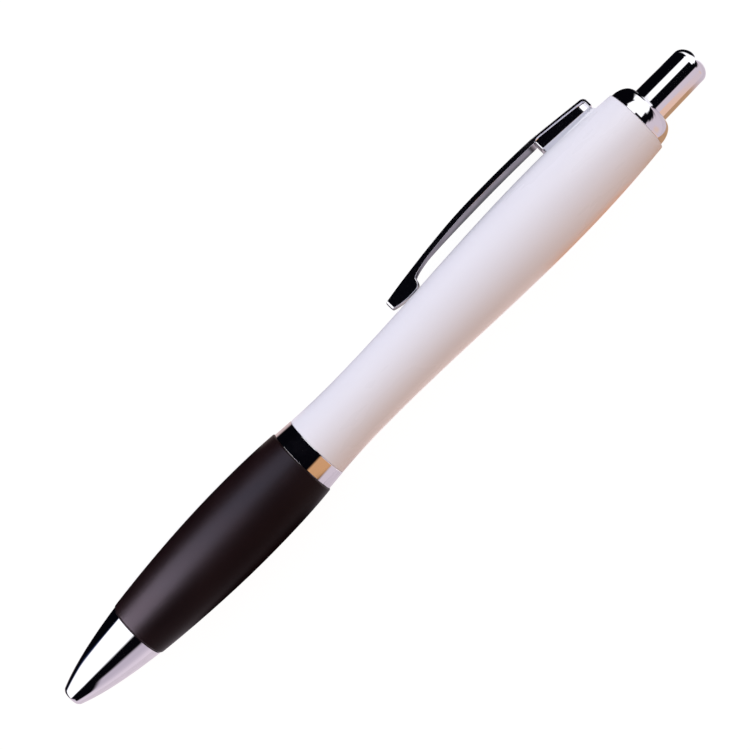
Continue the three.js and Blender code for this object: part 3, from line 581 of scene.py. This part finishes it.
# A wound wire, its end turns drawn closer together.
def returnSpring():
    rings, sides = spring["turns"] * spring["steps"], spring["sides"]
    points = []
    for i in range(rings + 1):
        turns = i / spring["steps"]
        heading = (springCentre(turns + 0.01) - springCentre(turns - 0.01)).normalized()
        outwards = Vector((0, math.cos(2 * math.pi * turns), math.sin(2 * math.pi * turns)))
        sideways = heading.cross(outwards)
        radius = spring["wire"] * (spring["cutEnd"] if i in (0, rings) else 1)
        for around in evenTurns(sides):
            way = outwards * math.cos(around) + sideways * math.sin(around)
            points.append(springCentre(turns) + way * radius)
    faces = tubeFaces(rings + 1, sides)
    faces += [tuple(range(sides)), tuple(range(rings * sides, (rings + 1) * sides))]
    piece = makePiece("returnSpringWire", points, faces, springWire, None, "return_spring")
    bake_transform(piece)


# The arm's and the lobe's places are from the clip's tip, and heights are over the pen's axis.
clip = {
    "tip": 79.0, "length": 44.2, "crownAt": 23.0, "crown": 9.53, "crownPower": 2.3,
    "tipHeight": 7.85, "shoulderHeight": 9.3, "heelHeight": 8.13, "heelRadius": 0.8, "heelBottom": 6.3,
    "thickness": 0.82, "plateThickness": 0.42, "edge": 0.05, "edgeHold": 0.06, "lobeEdge": 0.11,
    "tipHalfWidth": 1.35, "halfWidth": 3.1, "footHalfWidth": 2.8,
    "widenFrom": 5.5, "widenTo": 20.0, "narrowFrom": 25.0, "narrowTo": 39.0,
    "tipRound": 0.6,  # the lobe's end seen from above
    "tipCorner": 0.4, "tipSlack": 0.03, "lobeNoseHeight": 6.4, "lobeNoseSlack": 0.02,
    "lobeSwellAt": 1.8, "lobeSwellRise": 0.03, "lobeFlatAt": 3.2, "lobeFlatEnd": 4.5,
    "lobeBack": 6.0, "lobeBackRound": 0.2, "lobeBackLean": 0.06, "lobeGap": 0.06, "lobeRise": 1.1,
    "filletDepth": 0.6, "filletEnd": 9.5, "filletHandle": (0.25, 0.2),
    "footFront": 113.0, "footRear": 122.95, "thinBefore": 0.2, "thinAfter": 0.8, "rowsBefore": 0.3,
    "panelHalfWidth": 2.5, "footFrontCorner": 0.3, "footRearCorner": 1.6, "footRearCornerDepth": 0.65,
    "footLowerCorner": 0.45, "rimFillet": 0.4, "rimRearShare": 0.6, "rimOverlap": 0.05,
    "bandTop": 7.06, "bandSlope": 0.072, "bandLean": 0.62, "bandSink": 0.2,
    "flexFrom": 112.0, "flexTo": 98.0, "flexHeight": 8.5,  # where the arm bends as it opens
}
heelStart = clip["tip"] + clip["length"] - clip["heelRadius"]


def clipTop(x):
    along, crown = x - clip["tip"], clip["crown"]
    if along < clip["crownAt"]:
        share = (clip["crownAt"] - along) / clip["crownAt"]
        return crown - (crown - clip["tipHeight"]) * share ** clip["crownPower"]
    if x < clip["footFront"]:
        share = (along - clip["crownAt"]) / (clip["footFront"] - clip["tip"] - clip["crownAt"])
        return crown - (crown - clip["shoulderHeight"]) * share ** 2
    share = (x - clip["footFront"]) / (heelStart - clip["footFront"])
    return clip["shoulderHeight"] + (clip["heelHeight"] - clip["shoulderHeight"]) * share


def clipUnder(x):
    onFoot = softStep(x, clip["footFront"] - clip["thinBefore"], clip["footFront"] + clip["thinAfter"])
    return clipTop(x) - clip["thickness"] + (clip["thickness"] - clip["plateThickness"]) * onFoot


def clipHalfWidth(x):
    along, arm, tipRound = x - clip["tip"], clip["halfWidth"], clip["tipRound"]
    widened = softStep(along, clip["widenFrom"], clip["widenTo"])
    half = clip["tipHalfWidth"] + (arm - clip["tipHalfWidth"]) * widened
    half -= (arm - clip["footHalfWidth"]) * softStep(along, clip["narrowFrom"], clip["narrowTo"])
    nearTip = max(tipRound - along, 0)
    return half - tipRound + math.sqrt(max(tipRound ** 2 - nearTip ** 2, 0))


# The clip's outer and inner edge seen from the side, point against point from the tip to the heel's end.
def clipPaths():
    tip, corner = clip["tip"], clip["tipCorner"]
    middle = (tip, (clip["tipHeight"] + clip["lobeNoseHeight"]) / 2)
    topStart, noseStart = (tip + corner, clipTop(tip + corner)), (tip + corner, clip["lobeNoseHeight"])
    top = [middle] + line(middle, (tip, topStart[1] - corner), steps=4)
    top += curve(top[-1], (tip, topStart[1] - clip["tipSlack"]), topStart, steps=10)
    bottom = [middle] + line(middle, (tip, noseStart[1] + corner), steps=4)
    bottom += curve(bottom[-1], (tip, noseStart[1] - clip["lobeNoseSlack"]), noseStart, steps=10)

    # the lobe's round belly, its flat and the way back up to the arm
    low = barrelRadius(tip + clip["lobeFlatEnd"]) + clip["lobeGap"]
    flatStart, flatEnd = (tip + clip["lobeFlatAt"], low), (tip + clip["lobeFlatEnd"], low)
    backX, filletEnd = tip + clip["lobeBack"], tip + clip["filletEnd"]
    backLow = (backX, low + clip["lobeRise"])
    backHigh = (backX + clip["lobeBackLean"], clipUnder(backX) - clip["filletDepth"])
    reach, drop = clip["filletHandle"]
    swell = (tip + clip["lobeSwellAt"], low + clip["lobeSwellRise"])
    bottom += curve(noseStart, swell, flatStart, steps=14) + line(flatStart, flatEnd, steps=4)
    bottom += curve(flatEnd, (backX - clip["lobeBackRound"], low), backLow, steps=16)
    bottom += line(backLow, backHigh, steps=5)
    bottom += curve(backHigh, (backX + reach, clipUnder(backX) - drop), (filletEnd, clipUnder(filletEnd)),
                    steps=26)
    top += [(x, clipTop(x)) for x, _ in line(topStart, (filletEnd, 0), steps=65)]

    # the arm, then the foot's plate with closer rows
    rowsFrom = clip["footFront"] - clip["rowsBefore"]
    stations = [x for x, _ in line((filletEnd, 0), (rowsFrom, 0), steps=60)]
    stations += [x for x, _ in line((stations[-1], 0), (heelStart, 0), steps=60)]
    top += [(x, clipTop(x)) for x in stations]
    bottom += [(x, clipUnder(x)) for x in stations]
    outer, inner = clip["heelRadius"], clip["heelRadius"] - clip["plateThickness"]
    centreHeight, steps = clip["heelHeight"] - outer, 12
    for i in range(1, steps + 1):
        turn = math.pi / 2 * i / steps
        top.append((heelStart + outer * math.sin(turn), centreHeight + outer * math.cos(turn)))
        bottom.append((heelStart + inner * math.sin(turn), centreHeight + inner * math.cos(turn)))
    top += line(top[-1], (top[-1][0], clip["heelBottom"]), steps=5)
    bottom += line(bottom[-1], (bottom[-1][0], clip["heelBottom"]), steps=5)
    return top, bottom


def outward(path, i, side):
    before, after = path[max(i - 1, 0)], path[min(i + 1, len(path) - 1)]
    along = Vector((after[0] - before[0], after[1] - before[1])).normalized()
    return (-along.y * side, along.x * side)


# One rounded edge of the strip, from its face to its side.
def stripEdge(path, i, side):
    x, height = path[i]
    out = (-1, 0) if i == 0 else outward(path, i, side)
    edge, radius, rounds = [], clip["edge"], 4
    if side < 0:
        behindLobe = softStep(x, clip["tip"] + clip["lobeBack"], clip["tip"] + clip["filletEnd"])
        radius += (clip["lobeEdge"] - radius) * (1 - behindLobe)
    for k in range(rounds + 1):
        turn = math.pi / 2 * k / rounds
        inset = radius * (1 - math.sin(turn))
        station = x - out[0] * inset
        half = clipHalfWidth(station) - radius * (1 - math.cos(turn))
        edge.append((station, height - out[1] * inset, half))
    # one more row keeps the face beside the round flat
    edge.append((x, height, max(edge[-1][2] - clip["edgeHold"], 0.01)))
    return edge


def clipStrip():
    top, bottom = clipPaths()
    points, rows = [], len(top)
    for i in range(rows):
        upper, lower = stripEdge(top, i, 1)[::-1], stripEdge(bottom, i, -1)
        facing = [tuple(upper[-1][k] + (lower[0][k] - upper[-1][k]) * t for k in (0, 1))
                  for t in (0.1, 0.5, 0.9)]
        half = upper + [(x, height, clipHalfWidth(x)) for x, height in facing] + lower
        points += half + [(x, height, -z) for x, height, z in half[::-1]]
    count = len(points) // rows
    lastRow = tuple(range((rows - 1) * count, rows * count))
    return points, tubeFaces(rows, count) + [lastRow]


# The foot's outline seen from above: station, side and the way out at each point.
def footPlan():
    half, front, rear = clip["panelHalfWidth"], clip["footFrontCorner"], clip["footRearCorner"]
    depth, steps = clip["footRearCornerDepth"], 16
    corners = [(clip["footRear"] - rear, half - depth, rear, depth),
               (clip["footFront"] + front, half - front, front, front)]
    corners += [(x, -z, radius, depth) for x, z, radius, depth in corners[::-1]]
    arcs = []
    for number, (x, z, radius, depth) in enumerate(corners):
        turns = [math.radians(90 * (number + i / steps)) for i in range(steps + 1)]
        ways = [Vector((depth * math.cos(turn), radius * math.sin(turn))).normalized() for turn in turns]
        arcs.append([(x + radius * math.cos(turn), z + depth * math.sin(turn), way.x, way.y)
                     for turn, way in zip(turns, ways)])
    plan = []
    for arc, following, count in zip(arcs, arcs[1:] + arcs[:1], (24, 8, 24, 8)):
        straight = line(arc[-1][:2], following[0][:2], count)[:-1]
        plan += arc + [(x, z, *arc[-1][2:]) for x, z in straight]
    return plan


# The boxed foot: a flat side panel, a fillet under the rim and a band that tucks in to the barrel.
def clipFoot():
    plan = footPlan()
    fillet, sink, lowerCorner = clip["rimFillet"], clip["bandSink"], clip["footLowerCorner"]
    levels = [("band", t) for t in (0, 0.1, 0.3, 0.5, 0.7, 0.9, 0.97, 1)]
    levels += [("panel", t) for t in (0.03, 0.3, 0.6, 0.97, 1)] + [("fillet", i / 8) for i in range(1, 9)]
    points = []
    for kind, t in levels:
        for x, z, outX, outZ in plan:
            bandTop = clip["bandTop"] - clip["bandSlope"] * (x - clip["footFront"])
            panelTop = clipUnder(max(x, clip["footFront"] + clip["thinAfter"])) - fillet
            out, height = 0, bandTop + (panelTop - bandTop) * t
            if kind == "band":
                onPad = math.sqrt(padRadius(x) ** 2 - z ** 2)
                out = -clip["bandLean"] * (bandTop - onPad + sink) * (1 - t)
                nearFront = max(clip["footFront"] + lowerCorner - x, 0)
                lift = lowerCorner - math.sqrt(max(lowerCorner ** 2 - nearFront ** 2, 0))
                foot = math.sqrt(padRadius(x) ** 2 - (z + outZ * out) ** 2) - sink
                foot += lift + sink if lift > 0 else 0
                height = foot + (bandTop - foot) * t
            elif kind == "fillet":
                out = fillet * (1 - math.cos(math.pi / 2 * t)) * (clip["rimRearShare"] if outX > 0.5 else 1)
                height = panelTop + (fillet + clip["rimOverlap"]) * math.sin(math.pi / 2 * t)
            points.append((x + outX * out, height, z + outZ * out))
    rows, count = len(levels), len(plan)
    ends = [tuple(range(count))[::-1], tuple(range((rows - 1) * count, rows * count))]
    return points, tubeFaces(rows, count) + ends


def pocketClip():
    points, faces = clipStrip()
    footPoints, footFaces = clipFoot()
    faces += [tuple(i + len(points) for i in face) for face in footFaces]
    piece = makePiece("pocketClip", points + footPoints, faces, chrome, None, "clip",
                      sharpAbove=38)
    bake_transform(piece)


lowerBarrel()
refillPoint()
writingBall()
returnSpring()
noseCone()
sleevePiece = gripSleeve()
centreRing()
upperBarrel()
topCollar()
pushButton()
pocketClip()
print("stage: pieces made")


# The camera stands over the rear half, looks at the middle, and sees a little under the clip.
view = {
    "underClip": 8.0,  # degrees from square on, towards the clip's inner face
    "distance": 351.5, "overStation": 86.06, "aimStation": 69.86,
    "aside": 1.34,  # how far the axis lies below the picture's middle
    "roll": 45.65, "lens": 108.1,
}


def setCamera():
    lean = lyingTurn - math.radians(view["underClip"])
    toCamera = Vector((0, math.sin(lean), math.cos(lean)))
    clipSide = Vector((0, math.cos(lean), -math.sin(lean)))
    axis = Vector((1, 0, 0))
    origin = penToWorld @ Vector((0, 0, 0))
    shift = clipSide * view["aside"] / 1000
    place = origin + axis * view["overStation"] / 1000 + toCamera * view["distance"] / 1000 + shift
    aim = origin + axis * view["aimStation"] / 1000 + shift
    back = (place - aim).normalized()
    along = (axis - back * axis.dot(back)).normalized()
    roll = math.radians(view["roll"])
    right = along * math.cos(roll) - clipSide * math.sin(roll)
    up = along * math.sin(roll) + clipSide * math.cos(roll)
    data = bpy.data.cameras.new("photoCamera")
    data.lens = view["lens"]
    data.clip_start = 0.01  # metres
    camera = bpy.data.objects.new("photoCamera", data)
    camera.matrix_world = Matrix((*zip(right, up, back, place), (0, 0, 0, 1)))
    bpy.context.scene.collection.objects.link(camera)
    bpy.context.scene.camera = camera
    return toCamera, clipSide


toCamera, clipSide = setCamera()


# What the chrome mirrors, by the direction round the pen (0 is the camera, + the clip side) and along it.
# Each window is colour, strength, round from, round to, along from, along to and both softnesses, in
# degrees.
studio = {
    "dark": "#06060b",
    "windows": [
        ("#e1d3dd", 1.0, -200, -31, 5.2, 95, 3, 0.5),  # pale wall below the rear half
        ("#06060b", 1.0, -38, -8, 22, 95, 3, 9),  # its dark foot, seen in the domes
        ("#06060b", 1.0, -46, -8, 38, 95, 4, 12),
        ("#06060b", 1.0, -66, -8, 64, 95, 8, 16),
        ("#cdc1cf", 1.0, -200, -46, -95, -18, 8, 3),  # pale wall below the nose
        ("#efe1ec", 1.0, -200, -84, -95, -18, 18, 3),
        ("#06060b", 1.0, -80, -30, -54, -37.5, 5, 2),
        ("#dea878", 1.0, -89, -28, 1.5, 4.4, 3, 0.4),  # table edge, seen in the ring
        ("#e1d3dd", 1.0, -200, -80, -2.5, 5.4, 4, 0.6),
        ("#cfc6d4", 1.0, -70, -33, 4.2, 5.4, 3, 0.3),
        ("#f8f2f6", 1.3, -130, -64, 4.3, 6.0, 4, 0.2),  # bright strip, seen under the clip's rim
        ("#f8cdb5", 1.0, -130, -64, 6.2, 9.1, 5, 0.5),  # table end, seen in the button's root
        ("#ecd0c4", 1.0, -92, -66, 12, 28, 10, 6),
        ("#ffffff", 1.4, 18, 58, 8.3, 95, 2.5, 0.6),  # rear light
        ("#ffffff", 1.4, -4, 62, 14.2, 95, 2.5, 0.8),
        ("#ffffff", 1.4, -12, 90, 42, 95, 5, 5),
        ("#ffffff", 1.4, -4, 110, -95, -24.6, 5, 1.5),  # front light
        ("#ffffff", 1.4, 34, 110, -95, -18, 3, 1.5),
    ],
    "wobble": 2.0, "wobbleScale": 7.0,  # degrees that the windows' sides waver by
    "upperLight": "#f6f4ff", "lowerLight": "#dcb6a0", "upperStrength": 1.12, "lowerStrength": 0.79,
    "warmTo": -34, "coolFrom": 18,  # round the pen, where the warm light gives way to the cool
}


# 1 between low and high and 0 beyond them.
def between(tree, value, low, high, soft):
    ramps = [addNode(tree, "MapRange",
                     {"interpolation_type": "SMOOTHSTEP", "From Min": edge - soft, "From Max": edge + soft,
                      "To Min": start, "To Max": 1 - start}, {"Value": value})
             for edge, start in ((low, 0), (high, 1))]
    return addNode(tree, "Math", {"operation": "MULTIPLY"}, {0: ramps[0], 1: ramps[1]})


# Lays a patch of colour over what is there. Its two limits are value, low, high and softness.
def addPatch(tree, under, tint, firstLimits, secondLimits):
    masks = [between(tree, *limits) for limits in (firstLimits, secondLimits)]
    mask = addNode(tree, "Math", {"operation": "MULTIPLY"}, {0: masks[0], 1: masks[1]})
    return addNode(tree, "Mix", {"data_type": "RGBA", 7: tint}, {0: mask, 6: under}).outputs[2]


# One shader as the camera sees it, one for what mirrors it, and one for the light that it gives.
def shownByRay(tree, seen, mirrored, given):
    path = addNode(tree, "LightPath")
    other = addNode(tree, "MixShader", {}, {0: path.outputs["Is Glossy Ray"], 1: given, 2: mirrored})
    return addNode(tree, "MixShader", {}, {0: path.outputs["Is Camera Ray"], 1: other, 2: seen})


def makeWorld():
    world = bpy.data.worlds.new("studio")
    bpy.context.scene.world = world
    world.use_nodes = True
    tree = world.node_tree
    tree.nodes.clear()
    direction = addNode(tree, "TexCoord").outputs["Generated"]

    def towards(axis):
        return addNode(tree, "VectorMath", {"operation": "DOT_PRODUCT", 1: axis},
                       {0: direction}).outputs["Value"]

    sides = {0: towards(clipSide), 1: towards(toCamera)}
    turn = addNode(tree, "Math", {"operation": "ARCTAN2"}, sides)
    turnDegrees = addNode(tree, "Math", {"operation": "DEGREES"}, {0: turn})
    rise = addNode(tree, "Math", {"operation": "ARCSINE"}, {0: towards((1, 0, 0))})
    riseDegrees = addNode(tree, "Math", {"operation": "DEGREES"}, {0: rise})
    sway = addNode(tree, "TexNoise", {"Scale": studio["wobbleScale"], "Detail": 2.0},
                   {"Vector": direction})
    shift = addNode(tree, "MapRange",
                    {"From Min": 0.25, "From Max": 0.75, "To Min": -studio["wobble"],
                     "To Max": studio["wobble"]}, {"Value": sway.outputs["Fac"]})
    swayed = addNode(tree, "Math", {"operation": "ADD"}, {0: turnDegrees, 1: shift})
    base = addNode(tree, "RGB")
    base.outputs[0].default_value = hexColor(studio["dark"])
    colour = base
    for tint, strength, roundFrom, roundTo, alongFrom, alongTo, roundSoft, alongSoft in studio["windows"]:
        colour = addPatch(tree, colour, hexColor(tint, strength), (swayed, roundFrom, roundTo, roundSoft),
                          (riseDegrees, alongFrom, alongTo, alongSoft))
    mirrored = addNode(tree, "Background", {}, {"Color": colour})
    side = addNode(tree, "MapRange",
                   {"interpolation_type": "SMOOTHSTEP", "From Min": studio["warmTo"],
                    "From Max": studio["coolFrom"]}, {"Value": turnDegrees})
    warm = hexColor(studio["lowerLight"], studio["lowerStrength"])
    cool = hexColor(studio["upperLight"], studio["upperStrength"])
    glow = addNode(tree, "Mix", {"data_type": "RGBA", 6: warm, 7: cool}, {0: side})
    given = addNode(tree, "Background", {}, {"Color": glow.outputs[2]})
    seen = addNode(tree, "Background", {"Color": (1, 1, 1, 1), "Strength": 1.0})
    shown = shownByRay(tree, seen, mirrored, given)
    addNode(tree, "OutputWorld", {}, {"Surface": shown})


makeWorld()


# The floor looks plain white from the camera. In the chrome it shows patches: colour, strength, then from
# and to along the pen, from and to across it, how much it leans and the softness, in mm.
ground = {
    "size": 6.0, "below": 0.0001,  # metres
    "shadowShare": 0.12, "glow": 1.08, "matt": 0.9, "dark": "#06060b",
    "patches": [
        ("#ebdde7", 1.0, -3000, -52, -3000, 0, 0, 4),  # the far side of the nose
        ("#e1d3dd", 1.0, -22, 3000, -3000, 0, 0, 3),  # and of the rear half
        ("#f6e6e8", 1.6, -11, 46, -3000, 0, 0, 3),  # brighter, a painted pool of light on the floor, for the lacquer to mirror
        ("#ff9c50", 1.0, 31, 51, -3000, -6, 0, 3),  # table end, seen in the lacquer's lower edge
        ("#cba07c", 1.0, 50, 66, -3000, -2, 0.157, 2),  # and in the collar and the button
        ("#66646a", 1.0, -6, 42, 3.2, 9, 0, 0.5),  # seen in the clip's inner face
        ("#8e8792", 1.0, -6, 42, 3.2, 4.25, 0, 0.35),
        ("#e1d3dd", 1.1, 43, 56, -2, 10, 0, 1),  # seen under the clip's rim
        ("#e0c8c6", 1.0, -21, -12, -4, 8, 0, 1.5),  # seen at the ring's edge
        ("#ffffff", 1.4, 66, 6000, -8, 3000, -0.9, 4),  # under the rear light
        ("#08080f", 1.0, 66, 94, -1.5, 9, 0, 0.8),  # painted shadow of the pen on the floor, seen as the dark line round the button's end
        ("#2c3c66", 1.0, -3000, -70, 10.5, 3000, 0, 2.5),  # blue edge of the front light
        ("#ffffff", 1.4, -3000, -73, 13.5, 3000, 0, 2),
    ],
    "streakScale": 0.35, "streakFrom": 0.8, "streakTo": 1.06,
    "nearBounce": "#f0eef8", "farBounce": "#fae6dc",  # what it throws up at the pen on either side
    "farFrom": -12.0, "nearFrom": 4.0,
    "tableBounce": "#f4b488", "tableAlong": (30, 50), "tableAcross": (-60, -7), "tableSoft": 4,
}


def paleFloor(tree):
    place = addNode(tree, "TexCoord")
    inMm = addNode(tree, "VectorMath", {"operation": "SCALE", "Scale": 1000},
                   {0: place.outputs["Object"]})
    parts = addNode(tree, "SeparateXYZ", {}, {0: inMm})
    along, across = parts.outputs["X"], parts.outputs["Y"]
    streaks = addNode(tree, "TexNoise", {"Scale": ground["streakScale"], "Detail": 3.0}, {"Vector": inMm})
    base = addNode(tree, "RGB")
    base.outputs[0].default_value = hexColor(ground["dark"])
    colour = base
    for tint, strength, alongFrom, alongTo, acrossFrom, acrossTo, lean, soft in ground["patches"]:
        leaning = addNode(tree, "Math", {"operation": "MULTIPLY_ADD", 1: lean}, {0: across, 2: along})
        colour = addPatch(tree, colour, hexColor(tint, strength), (leaning, alongFrom, alongTo, soft),
                          (across, acrossFrom, acrossTo, soft))
    grain = addNode(tree, "MapRange",
                    {**noiseSpan, "To Min": ground["streakFrom"], "To Max": ground["streakTo"]},
                    {"Value": streaks.outputs["Fac"]})
    mirrored = addNode(tree, "Emission", {}, {"Color": colour, "Strength": grain})
    side = addNode(tree, "MapRange",
                   {"interpolation_type": "SMOOTHSTEP", "From Min": ground["farFrom"],
                    "From Max": ground["nearFrom"]}, {"Value": across})
    far, near = hexColor(ground["farBounce"]), hexColor(ground["nearBounce"])
    bounceTint = addNode(tree, "Mix", {"data_type": "RGBA", 6: far, 7: near}, {0: side})
    withTable = addPatch(tree, bounceTint.outputs[2], hexColor(ground["tableBounce"]),
                         (along, *ground["tableAlong"], ground["tableSoft"]),
                         (across, *ground["tableAcross"], ground["tableSoft"]))
    bounce = addNode(tree, "BsdfDiffuse", {}, {"Color": withTable})
    glow = addNode(tree, "Emission", {"Strength": ground["glow"]})
    matt = addNode(tree, "BsdfDiffuse", {"Color": (*[ground["matt"]] * 3, 1)})
    seen = addNode(tree, "MixShader", {0: ground["shadowShare"]}, {1: glow, 2: matt})
    return shownByRay(tree, seen, mirrored, bounce)


def makeFloor():
    half = ground["size"] / 2
    mesh = bpy.data.meshes.new("studioFloor")
    mesh.from_pydata([(-half, -half, 0), (half, -half, 0), (half, half, 0), (-half, half, 0)], [],
                     [(0, 1, 2, 3)])
    mesh.materials.append(makeMaterial("paleStudioFloor", paleFloor))
    floor = bpy.data.objects.new("studioFloor", mesh)
    floor.location.z = -ground["below"]
    bpy.context.scene.collection.objects.link(floor)


makeFloor()


# Soft lights for the matt surfaces; the chrome mirrors the studio above instead. The gloss lights only
# make the long blue-grey sheen on the rubber. Distances and sizes are in metres.
lights = {
    "key": {
        "round": 50, "along": -10, "distance": 0.7, "long": 0.5, "wide": 0.5, "watts": 0.7,
        "tint": "#f4f3ff",
    },
    "sleeveEndGloss": {
        "round": 42, "along": -41, "distance": 0.4, "long": 0.2, "wide": 0.44, "watts": 6.2,
        "tint": "#e6d8f0", "onlyOn": sleevePiece,
    },
    "sleeveLengthGloss": {
        "round": 42, "along": -5, "distance": 0.45, "long": 0.36, "wide": 0.42, "watts": 1.35,
        "tint": "#ced6ff", "onlyOn": sleevePiece,
    },
}


def makeLight(name, light):
    turn, rise = math.radians(light["round"]), math.radians(light["along"])
    aside = toCamera * math.cos(turn) + clipSide * math.sin(turn)
    out = aside * math.cos(rise) + Vector((math.sin(rise), 0, 0))
    along = (Vector((1, 0, 0)) - out * out.x).normalized()
    across, place = out.cross(along), out * light["distance"]
    data = bpy.data.lights.new(name, "AREA")
    data.shape = "RECTANGLE"
    data.size, data.size_y = light["long"], light["wide"]
    data.energy = light["watts"]
    data.color = hexColor(light["tint"])[:3]
    lamp = bpy.data.objects.new(name, data)
    lamp.matrix_world = Matrix((*zip(along, across, out, place), (0, 0, 0, 1)))
    lamp.visible_camera = False
    if "onlyOn" in light:
        receivers = bpy.data.collections.new(name + "Receivers")
        receivers.objects.link(light["onlyOn"])
        lamp.light_linking.receiver_collection = receivers
        lamp.visible_diffuse = False
    else:
        lamp.visible_glossy = False
    bpy.context.scene.collection.objects.link(lamp)


for lightName, settings in lights.items():
    makeLight(lightName, settings)
print("stage: camera, studio and lights set")

bpy.context.scene.view_settings.view_transform = "Standard"
